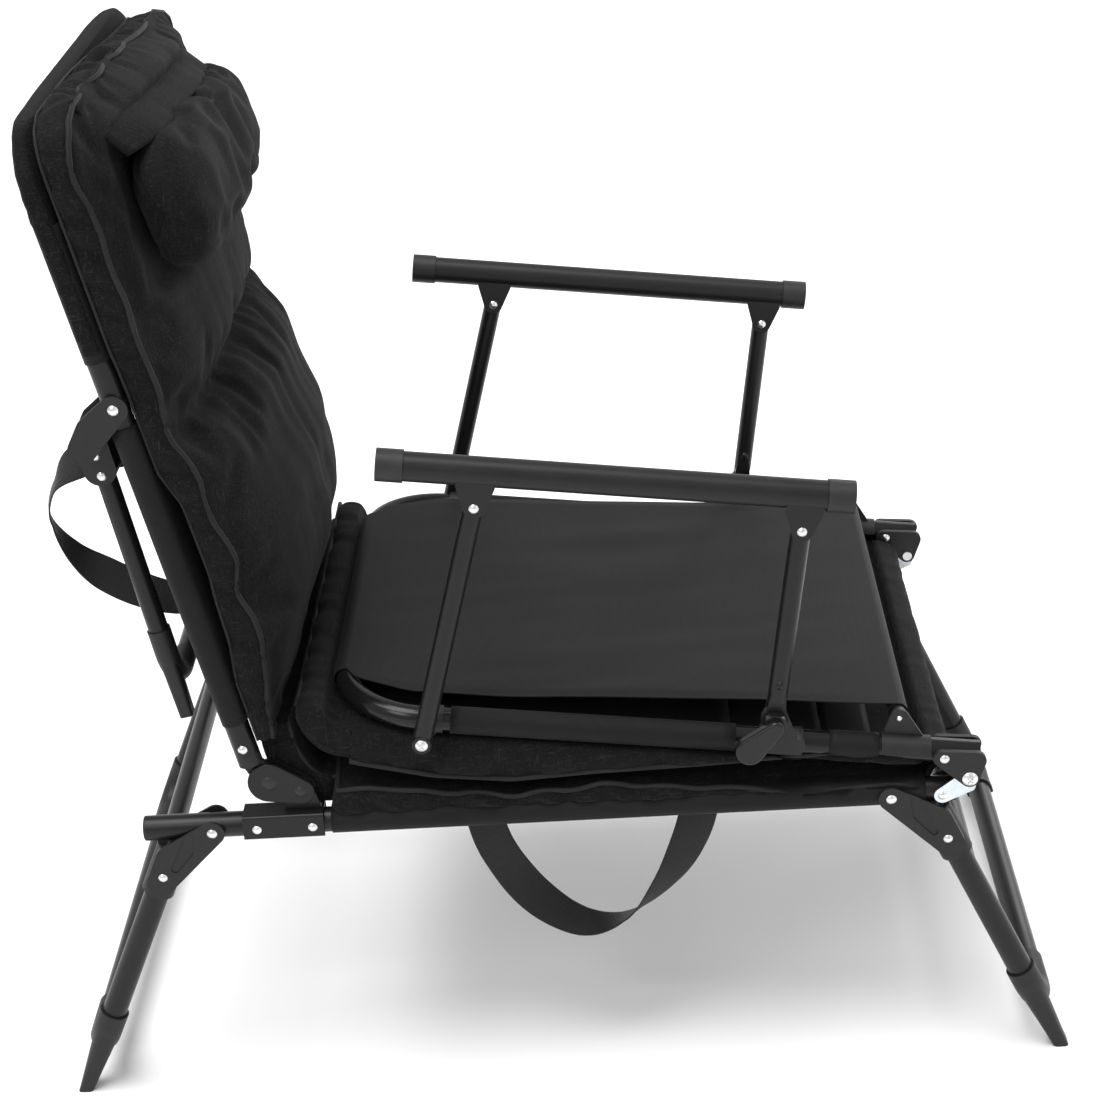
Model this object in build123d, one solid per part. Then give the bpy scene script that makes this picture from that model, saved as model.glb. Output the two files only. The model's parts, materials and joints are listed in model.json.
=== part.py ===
from build123d import *
import math
import os

# Folding camp lounger, set up as an armchair. Millimetres, +Z up, +X to the front.
# It is drawn with X measured from the recline pivots and moved to its origin at the end.
# An XZ point is (x, z). A side is -1 for the sitter's right (-Y) and +1 for the left.

# Driving dimensions
half_width = 250            # middle plane to the axes of the side tubes
tube_r = 12.5               # base and leg tubes
frame_r = 12                # backrest and foot section tubes
strut_r = 9.5
arm_r = 14
wall = 1.5
base_z = 310                # axis height of the base side tubes
base_rear_x = -129.5
base_front_x = 668
recline_pivot = (0, 357.6)
plate_screw = (30, 346.2)
hinge_pivot = (679.6, 329.2)
rear_leg_pivot = (-60.5, base_z)
front_leg_pivot = (604, base_z)
leg_lean = 24.2             # degrees from the vertical
leg_offset = 30.5           # leg axis to its pivot
foot_bar_z = 46             # axis height of the floor bars
upper_bar_z = 216
upper_bar_r = 11
back_lean = 11.57           # backrest tubes from the vertical
back_offset = 11.3          # backrest tube axis behind the recline pivot
back_length = 656           # recline pivot to the top bar's axis
back_leg_pivot_s = 413
back_leg_y = 220
back_leg_r = 9.8
foot_slope = 7.5            # folded foot section, front end lower
foot_front = (690, 347.8)   # front end of its tube axis
foot_length = 618
strut_y = 273.6
rear_strut_low = (155.4, 406)
rear_strut_high = (225.1, 651.9)
front_strut_low = (492.8, 411)
front_strut_high = (522.4, 610.5)
arm_rear = (138.9, 696.5)
arm_front = (571.6, 637.1)
rivet_r = 2.5
fixed_gap = 0.05
running_gap = 0.06
web = 1.5                   # sling cloth thickness
pad_half = 259
sides = (-1, 1)


# Helpers

def mid(a, b, share=0.5):
    return (a[0] + (b[0] - a[0]) * share, a[1] + (b[1] - a[1]) * share)


def along(start, degrees, distance):
    """The XZ point at a distance from start, degrees from +X towards +Z."""
    turn = math.radians(degrees)
    return (start[0] + distance * math.cos(turn), start[1] + distance * math.sin(turn))


def rod(start, end, radius):
    axis = Vector(*end) - Vector(*start)
    return extrude(Plane(origin=start, z_dir=axis) * Circle(radius), axis.length)


def tube(start, end, radius):
    return rod(start, end, radius) - rod(start, end, radius - wall)


def at(point, y):
    return (point[0], y, point[1])


def cross_rod(point, y_low, y_high, radius):
    return rod(at(point, y_low), at(point, y_high), radius)


def span(side, near, far):
    """Lowest and highest Y of a stretch given by its distances from the middle plane."""
    return sorted((side * near, side * far))


def bored(solid, holes):
    for point, radius in holes:
        solid = solid - cross_rod(point, -400, 400, radius)
    return solid


def plate(circles, y_low, y_high):
    """A plate of rounded outline: the hull of circles, each (point, radius)."""
    edges = ShapeList()
    for (x, z), radius in circles:
        edges += (Pos(x, z) * Circle(radius)).edges()
    face = make_hull(edges)
    flat = Plane(origin=(0, y_high, 0), x_dir=(1, 0, 0), z_dir=(0, -1, 0))
    return extrude(flat * face, y_high - y_low)


def dome(point, y, outward, radius, height):
    """A round head on the XZ point, its flat side at y."""
    sphere_r = (height ** 2 + radius ** 2) / (2 * height)
    centre = y - outward * (sphere_r - height)
    cut = Pos(point[0], y - outward * sphere_r, point[1]) * Box(4 * radius + 9, 2 * sphere_r, 4 * radius + 9)
    return Pos(point[0], centre, point[1]) * Sphere(sphere_r) - cut


def rivet(point, side, near, far, radius=rivet_r, head=4.6):
    low, high = span(side, near, far)
    body = cross_rod(point, low, high, radius)
    for y, outward in ((low, -1), (high, 1)):
        body = body + dome(point, y, outward, head, 2.2)
    return body


def cross_screw(point, side, near, far, radius=3.5, head=7.0):
    """A pan head screw, its head outboard with a cross recess, its tail inboard."""
    outer = side * far
    body = cross_rod(point, *span(side, near, far), radius)
    body = body + dome(point, outer, side, head, 3.4)
    body = body + cross_rod(point, *span(side, near - 3, near), head * 0.7)
    for turn in (45, 135):
        slot = Pos(point[0], outer + side * 3.2, point[1]) * Rot(0, turn, 0) * Box(head * 0.95, 3.2, 1.4)
        body = body - slot
    return body


def joined(pieces):
    return Compound(children=[p for s in pieces for p in s.solids()])


nodes = {}


def both(make):
    return joined([make(side) for side in sides])


# Base: two side tubes, two cross tubes, the hinge saddles and the seat

cross_tube_xs = (11, 535)
saddle_low_x, saddle_high_x = -30, 50
saddle_rivets = ((-16.5, base_z), (38.6, base_z))
link_rivet = (653.7, base_z + 0.5)
saddle_inner = tube_r + 0.15
saddle_outer = saddle_inner + 2
base_holes = [(p, rivet_r + fixed_gap) for p in saddle_rivets]
base_holes += [(link_rivet, rivet_r + fixed_gap)]
base_holes += [(p, 3 + running_gap) for p in (rear_leg_pivot, front_leg_pivot)]
plug_lip = 3


def base_tube(side):
    y = side * half_width
    ends = (base_rear_x + plug_lip, y, base_z), (base_front_x - plug_lip, y, base_z)
    return bored(tube(*ends, tube_r), base_holes)


def tube_plug(x, y, z, inward, radius):
    lip = rod((x, y, z), (x + inward * plug_lip, y, z), radius)
    lip = fillet(lip.edges().sort_by(Axis.X)[0 if inward > 0 else -1], 1.2)
    core = rod((x + inward * plug_lip, y, z), (x + inward * 9, y, z), radius - wall - 0.1)
    return lip + core


def base_plugs(side):
    y = side * half_width
    return joined([tube_plug(base_rear_x, y, base_z, 1, tube_r),
                   tube_plug(base_front_x, y, base_z, -1, tube_r)])


def seat_cross_tube(x, reach):
    bar = tube((x, -reach, base_z), (x, reach, base_z), 10)
    for side in sides:
        y = side * half_width
        bar = bar - rod((x - 40, y, base_z), (x + 40, y, base_z), tube_r + fixed_gap)
    return bar


def hinge_saddle(side):
    y = side * half_width
    middle_x = (saddle_low_x + saddle_high_x) / 2
    length = saddle_high_x - saddle_low_x
    low_z, high_z = base_z - 10, base_z + tube_r + 2.2
    skirt = Pos(middle_x, y, (low_z + high_z) / 2) * Box(length, 2 * saddle_outer, high_z - low_z)
    skirt = fillet(skirt.edges().filter_by(Axis.X).group_by(Axis.Z)[-1], 3)
    skirt = skirt - Pos(middle_x, y, base_z - 20) * Box(length + 2, 2 * saddle_inner, 65.3)
    tongue = plate([(plate_screw, 12), ((14, high_z + 1), 2), ((46, high_z + 1), 2)], y - 3, y + 3)
    tongue = tongue - Pos(30, y, high_z - 21.5) * Box(90, 20, 40)
    holes = [(p, rivet_r + fixed_gap) for p in saddle_rivets] + [(plate_screw, 3.5 + fixed_gap)]
    return bored(skirt + tongue, holes)


def hinge_side_plates(side):
    pair = []
    for near, far in ((3.3, 7.0), (-7.0, -3.3)):
        y_low, y_high = span(side, half_width + near, half_width + far)
        leaf = plate([(recline_pivot, 21), (plate_screw, 13.5)], y_low, y_high)
        leaf = fillet(leaf.edges().group_by(Axis.Y)[0 if near * side < 0 else -1], 1)
        pair.append(bored(leaf, [(recline_pivot, 4 + running_gap), (plate_screw, 3.5 + fixed_gap)]))
    return joined(pair)


def recline_screws(side):
    near, far = half_width - 7.0, half_width + 7.0
    pivot = cross_rod(recline_pivot, *span(side, near, far), 4)
    pivot = pivot + dome(recline_pivot, side * far, side, 7.6, 3)
    pivot = pivot + dome(recline_pivot, side * near, -side, 7.6, 3)
    fixing = cross_rod(plate_screw, *span(side, near, far), 3.5)
    fixing = fixing + dome(plate_screw, side * far, side, 6, 2.6)
    fixing = fixing + dome(plate_screw, side * near, -side, 6, 2.6)
    return joined([pivot, fixing])


def base_rivet_set(side):
    near, far = half_width - saddle_outer, half_width + saddle_outer
    pieces = [rivet(p, side, near, far) for p in saddle_rivets]
    pieces.append(rivet(link_rivet, side, half_width - 15.3, half_width + 15.3))
    return joined(pieces)


def front_hinge_links(side):
    leaves = []
    for near, far in ((12.8, 15.3), (-15.3, -12.8)):
        y_low, y_high = span(side, half_width + near, half_width + far)
        leaf = plate([(link_rivet, 8.2), (hinge_pivot, 8.5), ((681, 318), 4)], y_low, y_high)
        leaves.append(bored(leaf, [(link_rivet, rivet_r + fixed_gap), (hinge_pivot, 3.5 + fixed_gap)]))
    return joined(leaves)


def front_hinge_screw(side):
    return cross_screw(hinge_pivot, side, half_width - 18.6, half_width + 18.6, 3.5, 7.5)


def front_hinge_spacer(side):
    sleeve = cross_rod(hinge_pivot, *span(side, half_width - 12.6, half_width + 12.6), 5.6)
    return sleeve - cross_rod(hinge_pivot, -400, 400, 3.5 + fixed_gap)


def tube_sleeve(start, end, radius):
    return rod(start, end, radius + 0.2 + web) - rod(start, end, radius + 0.2)


seat_sling_rear_x, seat_sling_front_x = 57, 638
sling_z = base_z + tube_r + 0.2


def seat_sling():
    middle_x = (seat_sling_rear_x + seat_sling_front_x) / 2
    length = seat_sling_front_x - seat_sling_rear_x
    cloth = Pos(middle_x, 0, sling_z + web / 2) * Box(length, 2 * half_width, web)
    for side in sides:
        y = side * half_width
        ends = (seat_sling_rear_x, y, base_z), (seat_sling_front_x, y, base_z)
        cloth = cloth + tube_sleeve(*ends, tube_r)
    cloth = cloth - cross_rod((cross_tube_xs[1], base_z), -half_width, half_width, 10.3)
    return bored(cloth, [(front_leg_pivot, 4)])


def wedge_pad(lower, upper, reach, corner):
    """A pad between two XZ lines, each given by its rear and front end."""
    outline = Polyline(lower[0], lower[1], upper[1], upper[0], close=True)
    flat = Plane(origin=(0, reach, 0), x_dir=(1, 0, 0), z_dir=(0, -1, 0))
    pad = extrude(flat * make_face(outline), 2 * reach)
    return fillet(pad.edges().filter_by(Axis.Y), corner)


seat_pad_rear_x, seat_pad_front_x = 74, 648
seat_pad_low_z = sling_z + web + 0.5


def seat_pad_top(x):
    return seat_pad_low_z + 7.5 + (seat_pad_front_x - x) * math.tan(math.radians(foot_slope / 2))


def seat_pad():
    lower = [(seat_pad_rear_x, seat_pad_low_z), (seat_pad_front_x, seat_pad_low_z)]
    upper = [(x, seat_pad_top(x)) for x in (seat_pad_rear_x, seat_pad_front_x)]
    return wedge_pad(lower, upper, pad_half, 3)


def strap(points, y, radius):
    """A flat webbing loop through XZ points."""
    path = FilletPolyline(*[at(p, y) for p in points], radius=radius)
    section = Plane(origin=path @ 0, x_dir=(0, 1, 0), z_dir=path % 0) * Rectangle(38, 2)
    return sweep(section, path=path)


seat_strap_route = [(201, 321.5), (206, 250), (262, 176), (330, 158), (408, 226), (421, 321.5)]

nodes["base_tube_right"] = base_tube(-1)
nodes["base_tube_left"] = base_tube(1)
nodes["base_tube_plugs"] = both(base_plugs)
nodes["seat_rear_cross_tube"] = seat_cross_tube(cross_tube_xs[0], half_width - saddle_outer - 0.1)
nodes["seat_front_cross_tube"] = seat_cross_tube(cross_tube_xs[1], half_width - 8)
nodes["hinge_saddles"] = both(hinge_saddle)
nodes["hinge_side_plates"] = both(hinge_side_plates)
nodes["recline_screws"] = both(recline_screws)
nodes["base_rivets"] = both(base_rivet_set)
nodes["front_hinge_links"] = both(front_hinge_links)
nodes["front_hinge_screws"] = both(front_hinge_screw)
nodes["front_hinge_spacers"] = both(front_hinge_spacer)
nodes["seat_sling"] = seat_sling()
nodes["seat_pad"] = seat_pad()
nodes["seat_carry_strap"] = strap(seat_strap_route, -214, 28)


# Leg frames: a bent tube with its upper bar, brackets and feet. out is -1 at the rear, +1 in front

ear_gap, ear_far = 14.7, 17.7
bracket_r = 16.5


def leg_point(pivot, out, z):
    """Where the leg axis stands at a height."""
    lean = math.radians(leg_lean)
    start_x = pivot[0] + out * leg_offset / math.cos(lean)
    return (start_x + out * (pivot[1] - z) * math.tan(lean), z)


def leg_frame(pivot, out, top_z=284, bend=38):
    top, corner = leg_point(pivot, out, top_z), leg_point(pivot, out, foot_bar_z)
    route = [at(top, -half_width), at(corner, -half_width), at(corner, half_width), at(top, half_width)]
    path = FilletPolyline(*route, radius=bend)
    start = Plane(origin=path @ 0, z_dir=path % 0)
    frame = sweep(start * Circle(tube_r), path=path) - sweep(start * Circle(tube_r - wall), path=path)
    return bored(frame, [(leg_rivet(pivot, out), rivet_r + fixed_gap)])


def leg_rivet(pivot, out):
    return leg_point(pivot, out, 262)


def leg_upper_bar(pivot, out):
    point = leg_point(pivot, out, upper_bar_z)
    bar = tube(at(point, -half_width + 6), at(point, half_width - 6), upper_bar_r)
    for side in sides:
        y = side * half_width
        leg = rod(at(leg_point(pivot, out, 290), y), at(leg_point(pivot, out, 150), y), tube_r + fixed_gap)
        bar = bar - leg
    return bar


def leg_bracket(side, pivot, out):
    """A moulded socket on the leg's top, with two ears that straddle the base tube."""
    y = side * half_width
    top, low = leg_point(pivot, out, 300), leg_point(pivot, out, 238)
    body = rod(at(top, y), at(low, y), bracket_r)
    ear_shape = [(pivot, 12.4), (leg_point(pivot, out, 284), 14), (leg_point(pivot, out, 256), 14)]
    body = body + plate(ear_shape, y - ear_far, y + ear_far)
    slot_top = Pos(pivot[0], y, base_z + 100 - ear_gap) * Box(400, 2 * ear_gap, 200)
    toe = along(pivot, 180 - leg_lean if out < 0 else leg_lean, leg_offset)
    body = body - slot_top
    start = 0 if out < 0 else 180
    for step in range(3):
        swept = [(along(pivot, start + out * 37 * (step + k), 90), ear_gap) for k in (0, 1)]
        body = body - plate([(pivot, ear_gap)] + swept, y - ear_gap, y + ear_gap)
    body = body - rod(at(leg_point(pivot, out, 284), y), at(leg_point(pivot, out, 200), y), tube_r + fixed_gap)
    outer = side * (half_width + ear_far)
    pocket = plate([(mid(pivot, toe, 0.72), 3), (mid(pivot, leg_point(pivot, out, 262), 0.42), 2.5),
                    (mid(pivot, leg_point(pivot, out, 256), 0.72), 4)], outer - 1.1, outer + 1.1)
    body = body - pocket
    return bored(body, [(pivot, 3 + fixed_gap), (leg_rivet(pivot, out), rivet_r + fixed_gap)])


def leg_foot(side, pivot, out, bend=38):
    """A moulded corner foot: a sleeve round the bend with a tapered blade down to the floor."""
    y = side * half_width
    corner = leg_point(pivot, out, foot_bar_z)
    collar = leg_point(pivot, out, 94)
    route = [at(collar, y), at(corner, y), at(corner, y - side * 78)]
    path = FilletPolyline(*route, radius=bend)
    start = Plane(origin=path @ 0, z_dir=path % 0)
    body = sweep(start * Circle(15), path=path)
    tip = leg_point(pivot, out, -4)
    taper = loft([Plane(origin=at(leg_point(pivot, out, 90), y), z_dir=path % 0) * Circle(14.9),
                  Plane(origin=at(tip, y), x_dir=(0, 1, 0), z_dir=path % 0) * RectangleRounded(21, 14, 4)])
    body = body + taper
    body = body - Pos(corner[0], y, -25) * Box(200, 200, 50)
    full = [at(leg_point(pivot, out, 140), y), at(corner, y), at(corner, y - side * 140)]
    inner = FilletPolyline(*full, radius=bend)
    return body - sweep(Plane(origin=inner @ 0, z_dir=inner % 0) * Circle(tube_r + fixed_gap), path=inner)


def leg_rivets(side, pivot, out):
    near, far = half_width - ear_far, half_width + ear_far
    return joined([rivet(pivot, side, near, far, 3, 5),
                   rivet(leg_rivet(pivot, out), side, half_width - bracket_r - 1.2, half_width + bracket_r + 1.2)])


for name, pivot, out in (("rear", rear_leg_pivot, -1), ("front", front_leg_pivot, 1)):
    nodes[f"{name}_leg_frame"] = leg_frame(pivot, out)
    nodes[f"{name}_leg_upper_bar"] = leg_upper_bar(pivot, out)
    nodes[f"{name}_leg_brackets"] = joined([leg_bracket(side, pivot, out) for side in sides])
    nodes[f"{name}_leg_feet"] = joined([leg_foot(side, pivot, out) for side in sides])
    nodes[f"{name}_leg_rivets"] = joined([leg_rivets(side, pivot, out) for side in sides])


# Backrest, in distances s along its tubes and d forward of their axis

back_axis_deg = 90 + back_lean
back_foot = along(recline_pivot, 180 + back_lean, back_offset)


def back_point(s, d=0):
    return along(along(back_foot, back_axis_deg, s), back_axis_deg - 90, d)


back_rivet = back_point(45)
back_tube_low_s = 36
back_leg_pivot = back_point(back_leg_pivot_s)


def bent_frame(corners, radius, bend):
    path = FilletPolyline(*corners, radius=bend)
    start = Plane(origin=path @ 0, z_dir=path % 0)
    return sweep(start * Circle(radius), path=path) - sweep(start * Circle(radius - wall), path=path)


def backrest_frame():
    low, high = back_point(back_tube_low_s), back_point(back_length)
    route = [at(low, -half_width), at(high, -half_width), at(high, half_width), at(low, half_width)]
    holes = [(back_rivet, rivet_r + fixed_gap), (back_leg_pivot, 3 + running_gap)]
    return bored(bent_frame(route, frame_r, 70), holes)


def backrest_fitting(side):
    """The end plug of a backrest tube, with the tongue that turns on the recline pivot."""
    y = side * half_width
    tongue = plate([(recline_pivot, 12.5), (back_point(27), 9)], y - 3, y + 3)
    head = rod(at(back_point(24), y), at(back_point(back_tube_low_s), y), frame_r)
    core = rod(at(back_point(back_tube_low_s), y), at(back_point(66), y), frame_r - wall - 0.1)
    return bored(tongue + head + core, [(recline_pivot, 4 + running_gap), (back_rivet, rivet_r + fixed_gap)])


def backrest_rivet(side):
    return rivet(back_rivet, side, half_width - frame_r - 0.1, half_width + frame_r + 0.1)


back_sling_stretches = ((72, 392), (458, 590))


def back_sling():
    low, high = back_sling_stretches[0][0], back_sling_stretches[-1][1]
    near, far = frame_r + 0.2, frame_r + 0.2 + web
    corners = [back_point(low, near), back_point(high, near), back_point(high, far), back_point(low, far)]
    flat = Plane(origin=(0, half_width, 0), x_dir=(1, 0, 0), z_dir=(0, -1, 0))
    cloth = extrude(flat * make_face(Polyline(*corners, close=True)), 2 * half_width)
    for side in sides:
        y = side * half_width
        for s_low, s_high in back_sling_stretches:
            cloth = cloth + tube_sleeve(at(back_point(s_low), y), at(back_point(s_high), y), frame_r)
        block = along(back_point(413), back_axis_deg - 90, 10)
        cut = Pos(block[0], side * (half_width + 2), block[1]) * Rot(0, -back_lean, 0) * Box(34, 42, 42)
        cloth = cloth - cut
    return cloth


back_pad_low_s, back_pad_high_s = 42, 680
back_pad_near, back_pad_far = frame_r + web + 0.8, 92
back_pad_edge = 48
hood_low_s = 470
pillow_s, pillow_far = 562, 137


def back_block(profile, reach):
    """A solid between two sides whose profile is a closed line of (s, d) points."""
    flat = Plane(origin=(0, reach, 0), x_dir=(1, 0, 0), z_dir=(0, -1, 0))
    line = Polyline(*[back_point(*p) for p in profile], close=True)
    return extrude(flat * make_face(line), 2 * reach)


def back_crown(near, edge, middle, reach):
    """A bar along the backrest with a crowned front: its section is an arc over three sides."""
    low, high = back_point(back_pad_low_s - 20), back_point(back_pad_high_s + 20)
    plane = Plane(origin=at(low, 0), x_dir=(0, 1, 0), z_dir=(high[0] - low[0], 0, high[1] - low[1]))
    forward = 1 if plane.y_dir.X > 0 else -1
    arc = ThreePointArc((-reach, forward * edge), (0, forward * middle), (reach, forward * edge))
    sides_line = Polyline((reach, forward * edge), (reach, forward * near), (-reach, forward * near), (-reach, forward * edge))
    return extrude(plane * make_face(arc + sides_line), math.dist(low, high))


def pillow_block(grow):
    """The head pillow's solid, or the room it lies in."""
    middle = back_point(pillow_s, pillow_far - 34)
    block = Pos(middle[0], 0, middle[1]) * Rot(0, -back_lean, 0)
    block = block * Box(68 + 2 * grow, 428 + 2 * grow, 132 + 2 * grow)
    return fillet(block.edges().filter_by(Axis.Y), 26 + grow)


def back_pad():
    """Upholstery in front of the sling, closed over the top bar by its hood."""
    profile = [(back_pad_low_s, back_pad_near), (back_pad_low_s + 8, 54), (120, back_pad_far),
               (back_pad_high_s - 70, back_pad_far), (back_pad_high_s, 52),
               (back_pad_high_s, -frame_r - 6), (hood_low_s, -frame_r - 6), (hood_low_s, back_pad_near)]
    pad = back_block(profile, pad_half) & back_crown(-40, back_pad_edge - 2, back_pad_far - 1, pad_half + 8)
    hood_mid = back_point((hood_low_s - 6 + back_length + 14) / 2, 0)
    room = Pos(hood_mid[0], 0, hood_mid[1]) * Rot(0, -back_lean, 0)
    hood = room * Box(2 * (back_pad_near + 0.1), 2 * (half_width + frame_r + web + 0.8), back_length + 20 - hood_low_s)
    for side in sides:
        corner = back_point(back_pad_high_s)
        bevel = Pos(corner[0], side * pad_half, corner[1]) * Rot(0, -back_lean, 0)
        pad = pad - bevel * Rot(45, 0, 0) * Box(400, 50, 50)
    return pad - hood - pillow_block(0.6)


def head_pillow():
    return pillow_block(0)


nodes["backrest_frame"] = backrest_frame()
nodes["backrest_fittings"] = both(backrest_fitting)
nodes["backrest_rivets"] = both(backrest_rivet)
nodes["back_sling"] = back_sling()
nodes["back_pad"] = back_pad()
nodes["head_pillow"] = head_pillow()
back_strap_route = [back_point(341, 10), back_point(352, -20), back_point(338, -88), back_point(268, -112),
                    back_point(196, -84), back_point(178, -20), back_point(186, 10)]
nodes["back_carry_strap"] = strap(back_strap_route, -184, 16)


# Back leg: a narrower bent tube that nests inside the base and swings out behind the backrest

back_leg_lean = 9.5
back_leg_high = (-127, 718)
back_leg_ear_gap, back_leg_ear_far = 12.8, 16
back_leg_web = along(back_leg_pivot, -120, 33)


def back_leg_point(distance):
    """A point on the leg axis, by its distance down from the top."""
    return along(back_leg_high, -90 + back_leg_lean, distance)


back_leg_rivet_points = (back_leg_point(15), back_leg_point(36))


def back_leg_frame():
    low, high = back_leg_point(266), back_leg_point(-4)
    route = [at(high, -back_leg_y), at(low, -back_leg_y), at(low, back_leg_y), at(high, back_leg_y)]
    return bored(bent_frame(route, back_leg_r, 34), [(p, rivet_r + fixed_gap) for p in back_leg_rivet_points])


def back_leg_bracket(side):
    near, far = back_leg_y - 13.5, back_leg_y + 13.5
    socket = plate([(back_leg_point(2), 15.5), (back_leg_point(30), 15.5)], *span(side, near, far))
    tail = back_leg_point(62)
    trim = Pos(tail[0], side * back_leg_y, tail[1]) * Rot(0, -back_leg_lean, 0) * Box(60, 60, 30)
    socket = socket - trim
    ear_shape = [(back_leg_pivot, 13.6), (along(back_leg_high, 75, 26), 10), (back_leg_point(-5), 13)]
    for low, high in ((half_width - back_leg_ear_far, half_width - back_leg_ear_gap),
                      (half_width + back_leg_ear_gap, half_width + back_leg_ear_far)):
        socket = socket + plate(ear_shape, *span(side, low, high))
    socket = socket + plate([(back_leg_web, 6), (back_leg_point(4), 7)],
                            *span(side, half_width - back_leg_ear_far, half_width + back_leg_ear_far))
    y = side * back_leg_y
    bore = rod(at(back_leg_point(-5), y), at(back_leg_point(90), y), back_leg_r + fixed_gap)
    holes = [(back_leg_pivot, 3 + fixed_gap)] + [(p, rivet_r + fixed_gap) for p in back_leg_rivet_points]
    return bored(socket - bore, holes)


def back_leg_foot(side, bend=34):
    y = side * back_leg_y
    collar, corner = back_leg_point(206), back_leg_point(266)
    path = FilletPolyline(at(collar, y), at(corner, y), at(corner, y - side * 60), radius=bend)
    start = Plane(origin=path @ 0, z_dir=path % 0)
    body = sweep(start * Circle(11.4), path=path)
    tip = Plane(origin=at(back_leg_point(302), y), x_dir=(0, 1, 0), z_dir=path % 0)
    body = body + loft([start * Circle(11.3), tip * RectangleRounded(17, 13, 3)])
    inner = FilletPolyline(at(back_leg_point(150), y), at(corner, y), at(corner, y - side * 100), radius=bend)
    bore = sweep(Plane(origin=inner @ 0, z_dir=inner % 0) * Circle(back_leg_r + fixed_gap), path=inner)
    return body - bore


def back_leg_rivets(side):
    near, far = back_leg_y - 13.5, back_leg_y + 13.5
    pieces = [rivet(p, side, near, far) for p in back_leg_rivet_points]
    pieces.append(rivet(back_leg_pivot, side, half_width - back_leg_ear_far, half_width + back_leg_ear_far, 3, 5))
    return joined(pieces)


nodes["back_leg_frame"] = back_leg_frame()
nodes["back_leg_brackets"] = both(back_leg_bracket)
nodes["back_leg_feet"] = both(back_leg_foot)
nodes["back_leg_rivets"] = both(back_leg_rivets)


# Foot section, folded back over the seat: s runs rearwards along its tubes, n above their axis

foot_axis_deg = 180 - foot_slope


def foot_point(s, n=0):
    return along(along(foot_front, foot_axis_deg, s), foot_axis_deg - 90, n)


foot_cross_bar = (614.2, 389.2)
foot_hinge_rivet = foot_point(35)
clamp_s = (172, 214)
lug_s = (519, 537)
foot_sleeve_stretches = ((98, 146), (237, 512))


def foot_tube_stretch(side, s_low, s_high, radius):
    y = side * half_width
    return rod(at(foot_point(s_low), y), at(foot_point(s_high), y), radius)


def collar_ring(side, s_low, s_high, thickness):
    outer = foot_tube_stretch(side, s_low, s_high, frame_r + thickness)
    return outer - foot_tube_stretch(side, s_low, s_high, frame_r + fixed_gap)


def foot_frame():
    front, rear = foot_point(0), foot_point(foot_length)
    route = [at(front, -half_width), at(rear, -half_width), at(rear, half_width), at(front, half_width)]
    return bored(bent_frame(route, frame_r, 80), [(foot_hinge_rivet, rivet_r + fixed_gap)])


def foot_cross_tube():
    return tube(at(foot_cross_bar, -245.9), at(foot_cross_bar, 245.9), 8)


def foot_cross_bracket(side):
    leaf = plate([(foot_cross_bar, 9.5), (foot_point(58, 13), 2.5), (foot_point(92, 13), 2.5)],
                 *span(side, 246, 249))
    top_half = Pos(foot_cross_bar[0], side * half_width, foot_cross_bar[1] - 8) * Rot(0, foot_slope, 0)
    saddle = collar_ring(side, 48, 96, 2) & top_half * Box(90, 40, 44)
    body = leaf + saddle - foot_tube_stretch(side, 30, 120, frame_r + fixed_gap)
    return bored(body, [(foot_cross_bar, 2 + fixed_gap)])


def foot_hinge_bracket(side):
    body = None
    for inner, outer in ((12.55, 18.1), (-18.1, -12.55)):
        y_low, y_high = span(side, half_width + inner, half_width + outer)
        leaf = plate([(foot_point(38), 8), (foot_point(4), 9.5), (hinge_pivot, 9)], y_low, y_high)
        thin_low, thin_high = span(side, half_width + (inner if inner > 0 else -15.6),
                                   half_width + (15.6 if inner > 0 else outer))
        recess = plate([(hinge_pivot, 16), (along(hinge_pivot, -60, 20), 12), (along(hinge_pivot, -150, 20), 9)],
                       thin_low, thin_high)
        front = plate([(hinge_pivot, 16), (along(hinge_pivot, 32, 32), 9.4), (along(hinge_pivot, 0, 32), 9.4)],
                      thin_low, thin_high)
        leaf = leaf - recess - front
        body = leaf if body is None else body + leaf
    return bored(body, [(hinge_pivot, 3.5 + running_gap), (foot_hinge_rivet, rivet_r + fixed_gap)])


def strut_lug(side):
    """A clip round the frame tube that carries the rear strut's pivot screw below it."""
    ring = collar_ring(side, *lug_s, 1.7)
    ear = plate([(rear_strut_low, 8), (foot_point(sum(lug_s) / 2, 2), 9)], *span(side, 259.4, 262.2))
    ear = ear - foot_tube_stretch(side, lug_s[0] - 20, lug_s[1] + 20, frame_r + fixed_gap)
    return bored(ring + ear, [(rear_strut_low, 3 + fixed_gap)])


clamp_plate_near, clamp_plate_far = strut_y - 2.4, strut_y + 2.4
disc_thickness = 2.4


def toothed_disc(side, near, far):
    """A friction disc with radial teeth round its rim."""
    disc = cross_rod(front_strut_low, *span(side, near, far), 12.6)
    for step in range(24):
        tooth = along(front_strut_low, step * 15, 13.6)
        notch = Pos(tooth[0], side * (near + far) / 2, tooth[1]) * Rot(0, -step * 15, 0) * Box(3.2, 4, 1.5)
        disc = disc - notch
    return disc - cross_rod(front_strut_low, -400, 400, 3 + running_gap)


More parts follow.
